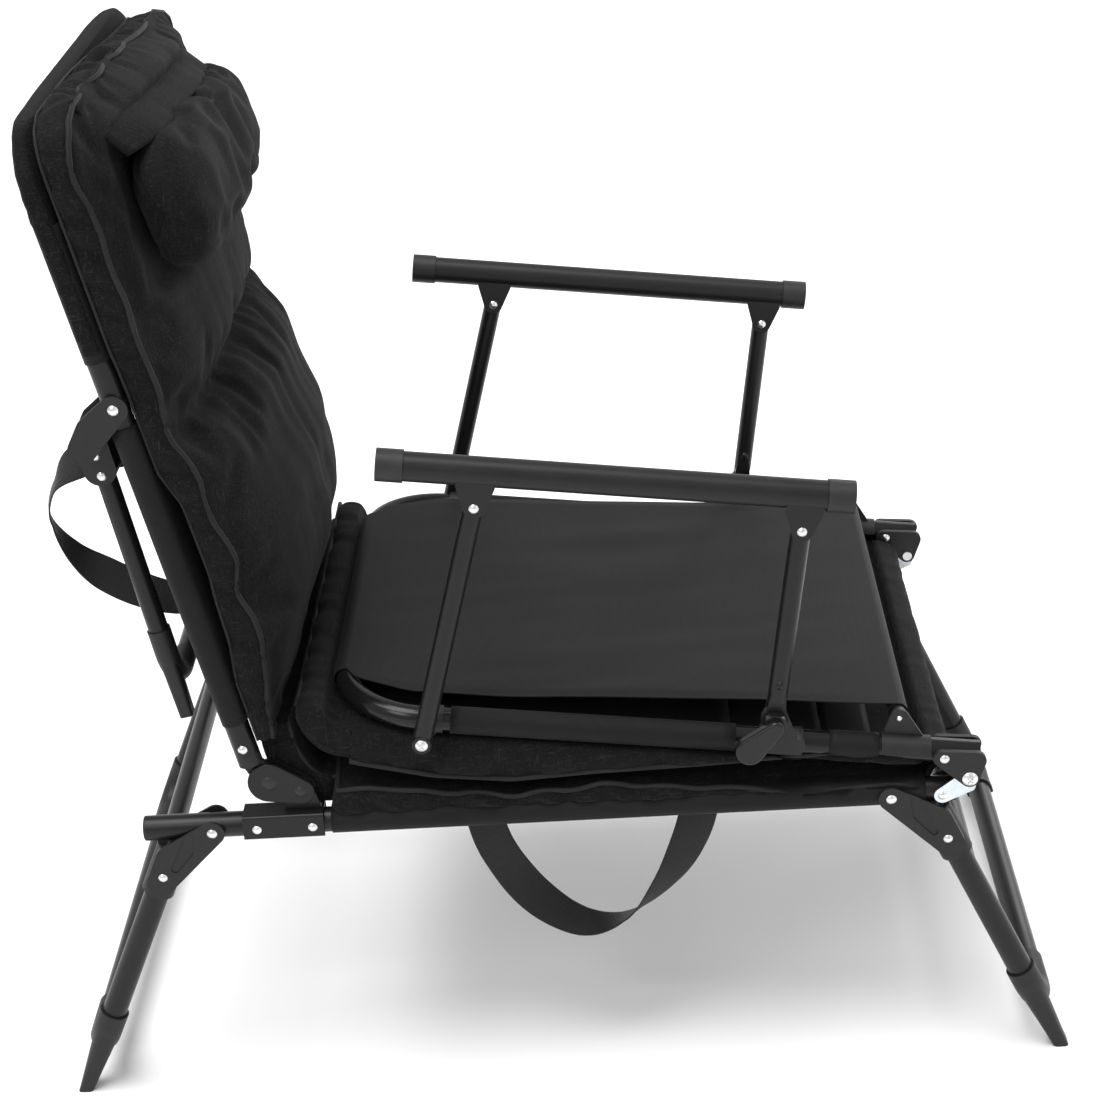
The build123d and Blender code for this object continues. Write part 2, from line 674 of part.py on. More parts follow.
def strut_clamp(side):
    ring = collar_ring(side, *clamp_s, 2.4)
    block = plate([(foot_point(180, 8), 9), (foot_point(206, 8), 9)], *span(side, half_width + 4, clamp_plate_far))
    leaf = plate([(front_strut_low, 12.6), (foot_point(184, 9), 7), (foot_point(206, 9), 7)],
                 *span(side, clamp_plate_near, clamp_plate_far))
    body = ring + block + leaf - foot_tube_stretch(side, 150, 240, frame_r + fixed_gap)
    body = bored(body, [(front_strut_low, 3 + running_gap)])
    discs = [toothed_disc(side, clamp_plate_far + 0.05, clamp_plate_far + 0.05 + disc_thickness),
             toothed_disc(side, clamp_plate_near - 0.05 - disc_thickness, clamp_plate_near - 0.05)]
    return joined([strut_lug(side), body] + discs)


def foot_sling():
    low, high = foot_sleeve_stretches[0][0], foot_sleeve_stretches[-1][1]
    near, far = -(frame_r + 0.2), -(frame_r + 0.2 + web)
    corners = [foot_point(low, near), foot_point(high, near), foot_point(high, far), foot_point(low, far)]
    flat = Plane(origin=(0, half_width, 0), x_dir=(1, 0, 0), z_dir=(0, -1, 0))
    cloth = extrude(flat * make_face(Polyline(*corners, close=True)), 2 * half_width)
    middle = foot_point((146 + 237) / 2, -13)
    for side in sides:
        y = side * half_width
        for s_low, s_high in foot_sleeve_stretches:
            cloth = cloth + tube_sleeve(at(foot_point(s_low), y), at(foot_point(s_high), y), frame_r)
        cloth = cloth - Pos(middle[0], y, middle[1]) * Rot(0, foot_slope, 0) * Box(91, 60, 50)
    return cloth


panel_half = 232
panel_bar_half = 166


def foot_seat_panel():
    """Cloth stretched over the frame from the rear bar to the cross tube, looped round both."""
    rear = foot_point(foot_length)
    gaps = (frame_r + 0.2, 8.2)
    ends = []
    for point, gap in ((rear, gaps[0]), (foot_cross_bar, gaps[1])):
        tilt = foot_axis_deg - 90 - 3.2
        ends.append((along(point, tilt, gap), along(point, tilt, gap + web)))
    flat = Plane(origin=(0, panel_half, 0), x_dir=(1, 0, 0), z_dir=(0, -1, 0))
    outline = Polyline(ends[0][0], ends[1][0], ends[1][1], ends[0][1], close=True)
    sheet = extrude(flat * make_face(outline), 2 * panel_half)
    for side in sides:
        corner = Pos(rear[0] - 10, side * (panel_half + 34), rear[1]) * Rot(0, 0, side * -35)
        sheet = sheet - corner * Box(200, 130, 200)
    sheet = sheet + (cross_rod(rear, -panel_bar_half, panel_bar_half, gaps[0] + web)
                     - cross_rod(rear, -panel_bar_half, panel_bar_half, gaps[0]))
    return sheet + (cross_rod(foot_cross_bar, -panel_half, panel_half, gaps[1] + web)
                    - cross_rod(foot_cross_bar, -panel_half, panel_half, gaps[1]))


foot_pad_reach = 258.5


def foot_pad():
    upper = [foot_point(598, -15.2), foot_point(46, -15.2)]
    lower = [(x, seat_pad_top(x) + 0.7) for x, _ in upper]
    return wedge_pad(lower, upper, foot_pad_reach, 2)


def foot_fasteners(side):
    near, far = half_width - 18.1, half_width + 18.1
    pieces = [rivet(foot_hinge_rivet, side, near, far)]
    pieces.append(rivet(foot_cross_bar, side, 241, 249, 2, 3))
    head_y = strut_y + strut_r + 0.3
    screw = cross_rod(rear_strut_low, *span(side, 259.4, head_y), 3)
    screw = screw + dome(rear_strut_low, side * head_y, side, 6, 2.6)
    for turn in (45, 135):
        slot = Pos(rear_strut_low[0], side * (head_y + 2.5), rear_strut_low[1]) * Rot(0, turn, 0) * Box(6.5, 2.6, 1.3)
        screw = screw - slot
    pieces.append(screw)
    return joined(pieces)


nodes["foot_frame"] = foot_frame()
nodes["foot_cross_tube"] = foot_cross_tube()
nodes["foot_cross_brackets"] = both(foot_cross_bracket)
nodes["foot_hinge_brackets"] = both(foot_hinge_bracket)
nodes["strut_clamps"] = both(strut_clamp)
nodes["foot_sling"] = foot_sling()
nodes["foot_seat_panel"] = foot_seat_panel()
nodes["foot_pad"] = foot_pad()
nodes["foot_fasteners"] = both(foot_fasteners)


# Armrests, each on two struts that fold forward together

arm_lean = math.degrees(math.atan2(arm_rear[1] - arm_front[1], arm_front[0] - arm_rear[0]))
fold_travel = 62
front_ratio = 1.285
clevis_gap, clevis_far = 10.0, 12.3
fork_gap, fork_far = 5.4, 7.8


def turned(point, centre, degrees):
    """An XZ point turned clockwise, seen along +Y, about a centre."""
    turn = math.radians(degrees)
    x, z = point[0] - centre[0], point[1] - centre[1]
    return (centre[0] + x * math.cos(turn) + z * math.sin(turn),
            centre[1] - x * math.sin(turn) + z * math.cos(turn))


def free_pin_places():
    """Where the armrest's front pin stands in the front strut's own frame as the arm folds."""
    places = []
    for step in range(0, 9):
        fold = fold_travel * step / 8
        rear_pin = turned(rear_strut_high, rear_strut_low, fold)
        pin = (rear_pin[0] + front_strut_high[0] - rear_strut_high[0],
               rear_pin[1] + front_strut_high[1] - rear_strut_high[1])
        places.append(turned(pin, front_strut_low, -front_ratio * fold))
    return places


def strut_share(low, high, distance):
    return mid(low, high, distance / math.dist(low, high))


def rear_strut(side):
    y = side * strut_y
    low, high = rear_strut_low, rear_strut_high
    bar = tube(at(strut_share(low, high, 6), y), at(strut_share(low, high, math.dist(low, high) + 8), y), strut_r)
    socket = rod(at(strut_share(low, high, -2), y), at(strut_share(low, high, 5.9), y), strut_r)
    socket = socket + plate([(low, 9.3)], *span(side, strut_y - strut_r + 0.1, strut_y + strut_r))
    sleeve = rod(at(strut_share(low, high, 5.9), y), at(strut_share(low, high, 24), y), strut_r - wall - 0.1)
    bar = bored(bar, [(high, rivet_r + running_gap), (low, 9.4)])
    socket = bored(socket + sleeve, [(low, 3 + running_gap)])
    return joined([bar, socket])


def front_strut(side):
    y = side * strut_y
    low, high = front_strut_low, front_strut_high
    rivet_point = strut_share(low, high, 40)
    bar = tube(at(strut_share(low, high, 21), y), at(strut_share(low, high, math.dist(low, high) + 1.5), y), strut_r)
    slot = plate([(p, rivet_r + 0.5) for p in free_pin_places()] +
                 [(strut_share(low, high, 216), rivet_r + 2)], -400, 400)
    fork = plate([(rivet_point, 8), (strut_share(low, high, 28), 9)], *span(side, strut_y - fork_far, strut_y + fork_far))
    fork = fork & rod(at(strut_share(low, high, 22), y), at(rivet_point, y), strut_r - wall - 0.1)
    prongs = plate([(low, 10.5), (strut_share(low, high, 26), 7.4)],
                   *span(side, strut_y - fork_far, strut_y + fork_far))
    throat = cross_rod(low, *span(side, strut_y - fork_gap, strut_y + fork_gap), 19)
    bar = bored(bar - slot, [(rivet_point, rivet_r + fixed_gap)])
    bar = bar - prongs
    fork = bored(prongs - throat + fork, [(low, 3 + running_gap), (rivet_point, rivet_r + fixed_gap)])
    pin = rivet(rivet_point, side, strut_y - strut_r, strut_y + strut_r, rivet_r, 4.2)
    return joined([bar, fork - bar, pin])


def armrest_tube(side):
    y = side * strut_y
    return tube(at(strut_share(arm_rear, arm_front, 3), y),
                at(strut_share(arm_rear, arm_front, math.dist(arm_rear, arm_front) - 3), y), arm_r)


def armrest_caps(side):
    y = side * strut_y
    caps = []
    for end, other in ((arm_rear, arm_front), (arm_front, arm_rear)):
        shell = rod(at(end, y), at(strut_share(end, other, 25), y), arm_r + 1.5)
        shell = shell - rod(at(strut_share(end, other, 3), y), at(strut_share(end, other, 30), y), arm_r + fixed_gap)
        caps.append(shell)
    return joined(caps)


def armrest_clevises(side):
    pieces = []
    y = side * strut_y
    arm_tube = rod(at(arm_rear, y), at(arm_front, y), arm_r + fixed_gap)
    for pin in (rear_strut_high, front_strut_high):
        above = along(pin, 90 - arm_lean, 22)
        shape = [(pin, 10), (along(above, -arm_lean, 12), 6), (along(above, -arm_lean, -12), 6)]
        block = plate(shape, *span(side, strut_y - clevis_far, strut_y + clevis_far))
        room = plate([(pin, 16), (along(pin, -90 - arm_lean, 20), 16)],
                     *span(side, strut_y - clevis_gap, strut_y + clevis_gap))
        pieces.append(bored(block - room - arm_tube, [(pin, rivet_r + fixed_gap)]))
    return joined(pieces)


def armrest_rivets(side):
    near, far = strut_y - clevis_far, strut_y + clevis_far
    return joined([rivet(pin, side, near, far) for pin in (rear_strut_high, front_strut_high)])


def clamp_knob(side):
    """A wing knob moulded on the clamp bolt, its paddle down and to the rear."""
    face = strut_y + fork_far + 0.4
    hub = cross_rod(front_strut_low, *span(side, face, face + 9), 11.5)
    paddle = plate([(front_strut_low, 8), (along(front_strut_low, -138, 34), 14)], *span(side, face + 8, face + 17))
    paddle = fillet(paddle.edges().group_by(Axis.Y)[0 if side < 0 else -1], 3)
    body = hub + paddle
    bolt = cross_rod(front_strut_low, *span(side, strut_y - fork_far - 0.4, face + 1), 3)
    nut = cross_rod(front_strut_low, *span(side, strut_y - fork_far - 1.8, strut_y - fork_far - 0.3), 5.5)
    return body + bolt + nut


for word, side in (("right", -1), ("left", 1)):
    nodes[f"rear_strut_{word}"] = rear_strut(side)
    nodes[f"front_strut_{word}"] = front_strut(side)
    nodes[f"armrest_tube_{word}"] = armrest_tube(side)
    nodes[f"armrest_caps_{word}"] = armrest_caps(side)
    nodes[f"armrest_clevises_{word}"] = armrest_clevises(side)
    nodes[f"armrest_rivets_{word}"] = armrest_rivets(side)
    nodes[f"clamp_knob_{word}"] = clamp_knob(side)


# Move the whole chair so that its box is centred on X, and write one STEP per node

boxes = [node.bounding_box() for node in nodes.values()]
shift_x = -(min(b.min.X for b in boxes) + max(b.max.X for b in boxes)) / 2

os.makedirs("parts", exist_ok=True)
for name, node in nodes.items():
    export_step(Pos(shift_x, 0, 0) * node, f"parts/{name}.step")
print("nodes", len(nodes), "shift_x", round(shift_x, 4))
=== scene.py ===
import json
import math
import bmesh
import bpy
import numpy as np
from mathutils import Matrix, Vector, noise


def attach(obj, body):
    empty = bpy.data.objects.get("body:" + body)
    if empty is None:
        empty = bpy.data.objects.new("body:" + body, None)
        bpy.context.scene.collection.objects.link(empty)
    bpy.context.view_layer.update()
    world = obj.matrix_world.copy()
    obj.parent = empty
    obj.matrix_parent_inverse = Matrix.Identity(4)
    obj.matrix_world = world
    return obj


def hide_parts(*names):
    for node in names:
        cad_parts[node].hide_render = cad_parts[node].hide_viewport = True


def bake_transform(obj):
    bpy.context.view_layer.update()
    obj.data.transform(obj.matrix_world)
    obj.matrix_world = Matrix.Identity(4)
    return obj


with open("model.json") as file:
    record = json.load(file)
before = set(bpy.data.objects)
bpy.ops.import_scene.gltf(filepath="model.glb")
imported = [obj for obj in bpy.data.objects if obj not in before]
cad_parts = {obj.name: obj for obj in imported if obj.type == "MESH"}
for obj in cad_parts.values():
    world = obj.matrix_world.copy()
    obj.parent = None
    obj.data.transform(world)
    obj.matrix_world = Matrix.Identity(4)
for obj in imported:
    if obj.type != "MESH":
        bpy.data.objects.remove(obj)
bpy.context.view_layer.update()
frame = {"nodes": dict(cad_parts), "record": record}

# The chair is described in millimetres with X from the recline pivots, as its frame was
# drawn. SHIFT moves that to the row frame. An XZ point is (x, z).
SHIFT = 271.75
HALF_WIDTH = 250.0
PAD_HALF = 259.0
BACK_LEAN = math.radians(11.57)
BACK_UP = (-math.sin(BACK_LEAN), math.cos(BACK_LEAN))
BACK_OUT = (math.cos(BACK_LEAN), math.sin(BACK_LEAN))
BACK_FOOT = (-11.3 * math.cos(BACK_LEAN), 357.6 - 11.3 * math.sin(BACK_LEAN))
FOOT_SLOPE = math.radians(7.5)
FOOT_FRONT = (690.0, 347.8)
FOOT_LENGTH = 618.0
CROSS_BAR = (614.2, 389.2)


# Places

def to_row(points):
    """Millimetres from the recline pivots to metres in the row frame."""
    moved = np.array(points, float)
    moved[..., 0] -= SHIFT
    return moved / 1000


def flat_place(u, y, n):
    """u along +X, n above the floor."""
    return np.stack([u, y, n], -1)


def back_place(s, y, n):
    """s up the backrest's tubes, n forward of their axis."""
    x = BACK_FOOT[0] + s * BACK_UP[0] + n * BACK_OUT[0]
    z = BACK_FOOT[1] + s * BACK_UP[1] + n * BACK_OUT[1]
    return np.stack([x, y, z], -1)


def foot_place(s, y, n):
    """s rearwards along the folded foot section's tubes, n above their axis."""
    x = FOOT_FRONT[0] - s * math.cos(FOOT_SLOPE) + n * math.sin(FOOT_SLOPE)
    z = FOOT_FRONT[1] + s * math.sin(FOOT_SLOPE) + n * math.cos(FOOT_SLOPE)
    return np.stack([x, y, z], -1)


def wobble(x, seed, size):
    """Smooth noise from -1 to 1 along one or more coordinates, each point a tuple."""
    x = np.asarray(x, float)
    flat = x.reshape(-1)
    values = [noise.noise(Vector((v / size, seed * 7.31, seed * 3.17))) for v in flat]
    return np.array(values).reshape(x.shape) * 1.8


def wobble2(x, y, seed, size_x, size_y):
    x, y = np.broadcast_arrays(np.asarray(x, float), np.asarray(y, float))
    pairs = zip(x.reshape(-1), y.reshape(-1))
    values = [noise.noise(Vector((a / size_x, b / size_y, seed * 5.77))) for a, b in pairs]
    return np.array(values).reshape(x.shape) * 1.8


def bump(x, centre, width):
    return np.exp(-((x - centre) / width) ** 2)


def smooth(x, low, high):
    t = np.clip((x - low) / (high - low), 0, 1)
    return t * t * (3 - 2 * t)


# Meshes

def make_mesh(name, points, faces, material, smooth_faces=True):
    mesh = bpy.data.meshes.new(name)
    mesh.from_pydata([tuple(p) for p in np.asarray(points).reshape(-1, 3)], [], faces)
    mesh.update()
    bm = bmesh.new()
    bm.from_mesh(mesh)
    bmesh.ops.recalc_face_normals(bm, faces=bm.faces)
    bm.to_mesh(mesh)
    bm.free()
    for polygon in mesh.polygons:
        polygon.use_smooth = smooth_faces
    mesh.materials.append(material)
    obj = bpy.data.objects.new(name, mesh)
    bpy.context.scene.collection.objects.link(obj)
    return obj


def apply_modifier(obj, kind, **settings):
    modifier = obj.modifiers.new(kind.lower(), kind)
    for key, value in settings.items():
        setattr(modifier, key, value)
    with bpy.context.temp_override(object=obj, active_object=obj, selected_objects=[obj]):
        bpy.ops.object.modifier_apply(modifier=modifier.name)
    for polygon in obj.data.polygons:
        polygon.use_smooth = True


def grid_faces(rows, columns, loop=False, start=0):
    faces = []
    for i in range(rows - 1):
        for j in range(columns if loop else columns - 1):
            k = (j + 1) % columns
            faces.append((start + i * columns + j, start + i * columns + k,
                          start + (i + 1) * columns + k, start + (i + 1) * columns + j))
    return faces


def sheet_mesh(name, points, thickness, material):
    """A cloth from a grid of points, given its thickness about the grid's own surface."""
    rows, columns = points.shape[:2]
    obj = make_mesh(name, to_row(points), grid_faces(rows, columns), material)
    apply_modifier(obj, "SOLIDIFY", thickness=thickness / 1000, offset=0)
    return obj


def tube_mesh(name, path, radius, material, sides=10, closed=False, flat=1.0, up=(0, 0, 1)):
    """A round or flattened cord through a list of points."""
    path = np.asarray(path, float)
    if closed:
        tangent = np.roll(path, -1, 0) - np.roll(path, 1, 0)
    else:
        tangent = np.gradient(path, axis=0)
    tangent /= np.linalg.norm(tangent, axis=1)[:, None] + 1e-12
    side = np.cross(tangent, np.array(up, float))
    weak = np.linalg.norm(side, axis=1) < 0.05
    side[weak] = np.cross(tangent[weak], np.array((0.0, 1.0, 0.0)))
    side /= np.linalg.norm(side, axis=1)[:, None]
    other = np.cross(side, tangent)
    turn = np.arange(sides) * 2 * math.pi / sides
    ring = (side[:, None, :] * np.cos(turn)[None, :, None]
            + other[:, None, :] * np.sin(turn)[None, :, None] * flat)
    points = path[:, None, :] + ring * radius
    count = len(path)
    faces = grid_faces(count, sides, loop=True)
    if closed:
        last = (count - 1) * sides
        faces += [(last + j, last + (j + 1) % sides, (j + 1) % sides, j) for j in range(sides)]
    else:
        faces += [tuple(range(sides)), tuple((count - 1) * sides + j for j in reversed(range(sides)))]
    return make_mesh(name, to_row(points), faces, material)


def resample(points, step):
    """Catmull-Rom points, about step apart, through a list of points."""
    points = [np.array(p, float) for p in points]
    points = [2 * points[0] - points[1]] + points + [2 * points[-1] - points[-2]]
    result = []
    for a, b, c, d in zip(points, points[1:], points[2:], points[3:]):
        count = max(2, int(np.linalg.norm(c - b) / step))
        for i in range(count):
            t = i / count
            result.append(0.5 * (2 * b + (c - a) * t + (2 * a - 5 * b + 4 * c - d) * t * t
                                 + (3 * b - a - 3 * c + d) * t ** 3))
    result.append(points[-2])
    return np.array(result)


class Cushion:
    """A closed pad on a grid: u along it, y across, n through it, from rear to front.

    half(u) is the half width, rear(u, y) and front(u, y) are its two faces, band_out is how
    far the side band bulges and ruffle how deep its gathers are."""

    def __init__(self, place, u_low, u_high, half, rear, front, step=9.0, band=4,
                 band_out=5.0, ruffle=2.0, seed=1, edge_wave=0.0):
        nu, nv = int((u_high - u_low) / step) + 1, int(2 * PAD_HALF / step) + 1
        u = np.linspace(u_low, u_high, nu)[:, None] * np.ones((1, nv))
        v = np.linspace(-1, 1, nv)[None, :] * np.ones((nu, 1))
        y = v * half(u)
        low, high = rear(u, y), front(u, y)
        self.shape = (nu, nv)
        ring = [(i, 0) for i in range(nu)] + [(nu - 1, j) for j in range(1, nv)]
        ring += [(i, nv - 1) for i in range(nu - 2, -1, -1)] + [(0, j) for j in range(nv - 2, 0, -1)]
        ring = np.array(ring)
        ru, ry = u[ring[:, 0], ring[:, 1]], y[ring[:, 0], ring[:, 1]]
        along = np.stack([np.roll(ru, -1) - np.roll(ru, 1), np.roll(ry, -1) - np.roll(ry, 1)], 1)
        along /= np.linalg.norm(along, axis=1)[:, None]
        outward = np.stack([along[:, 1], -along[:, 0]], 1)
        centre = np.array([(u_low + u_high) / 2, 0])
        flip = np.sign(np.sum(outward * (np.stack([ru, ry], 1) - centre), 1))
        outward *= flip[:, None]
        travel = np.concatenate([[0], np.cumsum(np.hypot(np.diff(ru), np.diff(ry)))])
        if edge_wave:
            wave = wobble(travel, seed + 3, 42) * edge_wave
            high[ring[:, 0], ring[:, 1]] += wave
        rl, rh = low[ring[:, 0], ring[:, 1]], high[ring[:, 0], ring[:, 1]]
        rows = []
        for k in range(1, band + 1):
            t = k / (band + 1)
            arch = math.sin(math.pi * t)
            pleats = bump(np.mod(travel + 14 * t, 31), 15, 4)
            gather = wobble2(travel + 16 * t, t * 20, seed, 19, 60) - 0.6 * pleats
            out = arch * band_out + arch ** 0.5 * ruffle * gather
            n = rl + (rh - rl) * t + ruffle * 0.6 * wobble2(travel, t * 30, seed + 9, 23, 30) * arch
            rows.append(place(ru + outward[:, 0] * out, ry + outward[:, 1] * out, n))
        size = nu * nv
        index = np.arange(size).reshape(nu, nv)
        faces = grid_faces(nu, nv) + [tuple(size + i for i in reversed(f)) for f in grid_faces(nu, nv)]
        count = len(ring)
        rear_ring = [int(size + index[i, j]) for i, j in ring]
        front_ring = [int(index[i, j]) for i, j in ring]
        loops = [rear_ring] + [[2 * size + k * count + m for m in range(count)] for k in range(band)]
        loops.append(front_ring)
        for a, b in zip(loops, loops[1:]):
            faces += [(a[m], a[(m + 1) % count], b[(m + 1) % count], b[m]) for m in range(count)]
        points = [place(u, y, high).reshape(-1, 3), place(u, y, low).reshape(-1, 3)] + rows
        self.points = np.concatenate(points)
        self.faces = faces
        self.ring = front_ring
        self.rear_ring = rear_ring
        self.u, self.y = u, y
        self.size = size

    def pins(self, front, band=0.35):
        """Pin weights: front is a grid of them for the front face, 1 at rest and 0 free."""
        weight = np.full(len(self.points), band)
        weight[:self.size] = np.broadcast_to(front, self.shape).reshape(-1)
        weight[self.size:2 * self.size] = 1
        weight[self.ring] = 1
        weight[self.rear_ring] = 1
        return weight

    def build(self, name, material, weights=None, pressure=4.0, grow=0.05, cap=10, frames=18):
        obj = make_mesh(name, to_row(self.points), self.faces, material)
        if weights is not None:
            inflate(obj, weights, pressure, grow, cap, frames)
        apply_modifier(obj, "SUBSURF", levels=1, render_levels=1)
        return obj


def inflate(obj, weights, pressure, grow, cap, frames):
    """Cloth that swells between its pinned points. Each point moves at most cap millimetres."""
    group = obj.vertex_groups.new(name="pin")
    for value in np.unique(np.round(weights, 2)):
        if value > 0:
            group.add([int(i) for i in np.where(np.round(weights, 2) == value)[0]], float(value), "REPLACE")
    rest = np.array([v.co for v in obj.data.vertices])
    cloth = obj.modifiers.new("cloth", "CLOTH")
    settings = cloth.settings
    settings.quality = 5
    settings.mass = 0.3
    settings.tension_stiffness = 25
    settings.compression_stiffness = 25
    settings.shear_stiffness = 8
    settings.bending_stiffness = 0.4
    settings.use_pressure = True
    settings.uniform_pressure_force = pressure
    settings.effector_weights.gravity = 0
    settings.vertex_group_mass = "pin"
    settings.pin_stiffness = 2
    settings.shrink_min = -grow
    cloth.collision_settings.use_collision = False
    cloth.point_cache.frame_start = 1
    cloth.point_cache.frame_end = frames
    scene = bpy.context.scene
    for step in range(1, frames + 1):
        scene.frame_set(step)
    evaluated = obj.evaluated_get(bpy.context.evaluated_depsgraph_get())
    moved = np.array([v.co for v in evaluated.data.vertices])
    obj.modifiers.remove(cloth)
    shift = moved - rest
    length = np.linalg.norm(shift, axis=1)
    shift *= (np.minimum(length, cap / 1000) / np.maximum(length, 1e-9))[:, None]
    shift[~np.isfinite(shift)] = 0
    for vertex, place in zip(obj.data.vertices, rest + shift):
        vertex.co = place
    obj.data.update()
    scene.frame_set(1)
    obj.vertex_groups.clear()


# Materials

class Nodes:
    """Shorthand for a material's nodes."""

    def __init__(self, name):
        self.material = bpy.data.materials.new(name)
        self.material.use_nodes = True
        self.tree = self.material.node_tree
        self.shader = next(n for n in self.tree.nodes if n.type == "BSDF_PRINCIPLED")
        self.place = self.add("ShaderNodeTexCoord").outputs["Object"]

    def add(self, kind, inputs=None, **settings):
        node = self.tree.nodes.new(kind)
        for key, value in settings.items():
            setattr(node, key, value)
        for key, value in (inputs or {}).items():
            self.feed(node.inputs[key], value)
        return node

    def feed(self, socket, value):
        if isinstance(value, bpy.types.NodeSocket):
            self.tree.links.new(value, socket)
        else:
            socket.default_value = value

    def math(self, operation, a, b=0.0, clamp=False):
        node = self.add("ShaderNodeMath", {0: a, 1: b}, operation=operation)
        node.use_clamp = clamp
        return node.outputs[0]

    def mapped(self, rotation=(0, 0, 0), scale=(1, 1, 1)):
        node = self.add("ShaderNodeMapping", {"Vector": self.place, "Rotation": rotation, "Scale": scale})
        return node.outputs[0]

    def noise(self, vector, scale, detail=2.0, rough=0.5):
        inputs = {"Vector": vector, "Scale": scale, "Detail": detail, "Roughness": rough}
        node = self.add("ShaderNodeTexNoise", inputs)
        return node.outputs["Fac"]

    def ramp(self, value, stops):
        node = self.add("ShaderNodeValToRGB", {"Fac": value})
        elements = node.color_ramp.elements
        while len(elements) < len(stops):
            elements.new(0.5)
        for element, (position, colour) in zip(elements, stops):
            element.position = position
            if not hasattr(colour, "__len__"):
                colour = (colour, colour, colour)
            element.color = (*colour, 1)
        return node.outputs["Color"]

    def finish(self, colour, rough, height=None, depth=0.0005, **constants):
        self.feed(self.shader.inputs["Base Color"], colour)
        self.feed(self.shader.inputs["Roughness"], rough)
        for key, value in constants.items():
            self.shader.inputs[key.replace("_", " ")].default_value = value
        if height is not None:
            node = self.add("ShaderNodeBump", {"Height": height, "Distance": depth, "Strength": 1.0})
            self.tree.links.new(node.outputs[0], self.shader.inputs["Normal"])
        return self.material


def weave(nodes, vector, pitch):
    """Height of a plain weave with threads along each axis, from 0 to 1."""
    parts = nodes.add("ShaderNodeSeparateXYZ", {0: vector})
    turns = 2 * math.pi / pitch
    waves = [nodes.math("SINE", nodes.math("MULTIPLY", parts.outputs[i], turns)) for i in range(3)]
    total = nodes.math("MULTIPLY", waves[0], waves[1])
    total = nodes.math("ADD", total, nodes.math("MULTIPLY", waves[1], waves[2]))
    total = nodes.math("ADD", total, nodes.math("MULTIPLY", waves[2], waves[0]))
    return nodes.math("ADD", nodes.math("MULTIPLY", total, 0.25), 0.5)


def pad_cloth(name, tilt):
    """Heathered black upholstery: a coarse weave with slubs along and across it."""
    n = Nodes(name)
    turned = n.mapped((0, tilt, 0))
    height = weave(n, turned, 0.0023)
    slubs = []
    for scale in ((1, 1, 0.07), (1, 0.07, 1), (0.07, 1, 1)):
        vector = n.mapped((0, tilt, 0), scale)
        slubs.append(n.noise(vector, 620, 1.0))
    thick = n.math("MAXIMUM", slubs[0], n.math("MAXIMUM", slubs[1], slubs[2]))
    streak = n.ramp(thick, [(0.5, 0.0), (0.62, 0.35), (0.76, 1.0)])
    patches = n.noise(turned, 26, 3.0)
    tone = n.math("ADD", n.math("MULTIPLY", streak, 0.6), n.math("MULTIPLY", patches, 0.35))
    colour = n.ramp(tone, [(0.05, (0.003, 0.003, 0.0033)), (0.45, (0.0062, 0.0062, 0.0067)),
                           (0.95, (0.02, 0.02, 0.0212))])
    fuzz = n.noise(turned, 1500, 2.0)
    total = n.math("ADD", n.math("MULTIPLY", height, 0.55), n.math("MULTIPLY", streak, 0.5))
    total = n.math("ADD", total, n.math("MULTIPLY", fuzz, 0.35))
    rough = n.math("ADD", n.math("MULTIPLY", patches, 0.12), 0.78)
    return n.finish(colour, rough, total, 0.0006, Sheen_Weight=0.03, Sheen_Roughness=0.4,
                    Specular_IOR_Level=0.1)


def plain_cloth(name, tilt=0.0, pitch=0.0011, light=0.014):
    """Tight smooth black cloth with a faint sheen and fine threads."""
    n = Nodes(name)
    turned = n.mapped((0, tilt, 0))
    height = weave(n, turned, pitch)
    along = n.noise(n.mapped((0, tilt, 0), (0.05, 1, 1)), 900, 1.0)
    across = n.noise(n.mapped((0, tilt, 0), (1, 0.05, 1)), 900, 1.0)
    threads = n.math("ADD", n.math("MULTIPLY", along, 0.5), n.math("MULTIPLY", across, 0.5))
    patches = n.noise(turned, 9, 3.0)
    tone = n.math("ADD", n.math("MULTIPLY", threads, 0.7), n.math("MULTIPLY", patches, 0.3))
    dark, bright = light * 0.35, light * 0.95
    colour = n.ramp(tone, [(0.3, (dark, dark, dark * 1.04)), (0.7, (bright, bright, bright * 1.04))])
    total = n.math("ADD", n.math("MULTIPLY", height, 0.6), n.math("MULTIPLY", threads, 0.5))
    rough = n.math("ADD", n.math("MULTIPLY", threads, 0.2), 0.5)
    return n.finish(colour, rough, total, 0.00018, Sheen_Weight=0.03, Sheen_Roughness=0.35,
                    Specular_IOR_Level=0.12)


def webbing_cloth(name):
    n = Nodes(name)
    parts = n.add("ShaderNodeSeparateXYZ", {0: n.place})
    total = n.math("ADD", n.math("ADD", parts.outputs[0], parts.outputs[2]), parts.outputs[1])
    ribs = n.math("SINE", n.math("MULTIPLY", total, 2 * math.pi / 0.0026))
    slant = n.math("SUBTRACT", parts.outputs[0], parts.outputs[2])
    diagonal = n.math("SINE", n.math("MULTIPLY", slant, 2 * math.pi / 0.0034))
    height = n.math("ADD", n.math("MULTIPLY", ribs, 0.35), n.math("MULTIPLY", diagonal, 0.25))
    grain = n.noise(n.place, 900, 2.0)
    tone = n.math("ADD", n.math("MULTIPLY", height, 0.3), grain)
    colour = n.ramp(tone, [(0.25, (0.005, 0.005, 0.0053)), (0.8, (0.019, 0.019, 0.02))])
    rough = n.math("ADD", n.math("MULTIPLY", grain, 0.2), 0.5)
    return n.finish(colour, rough, height, 0.0005, Sheen_Weight=0.03, Sheen_Roughness=0.4,
                    Specular_IOR_Level=0.25)


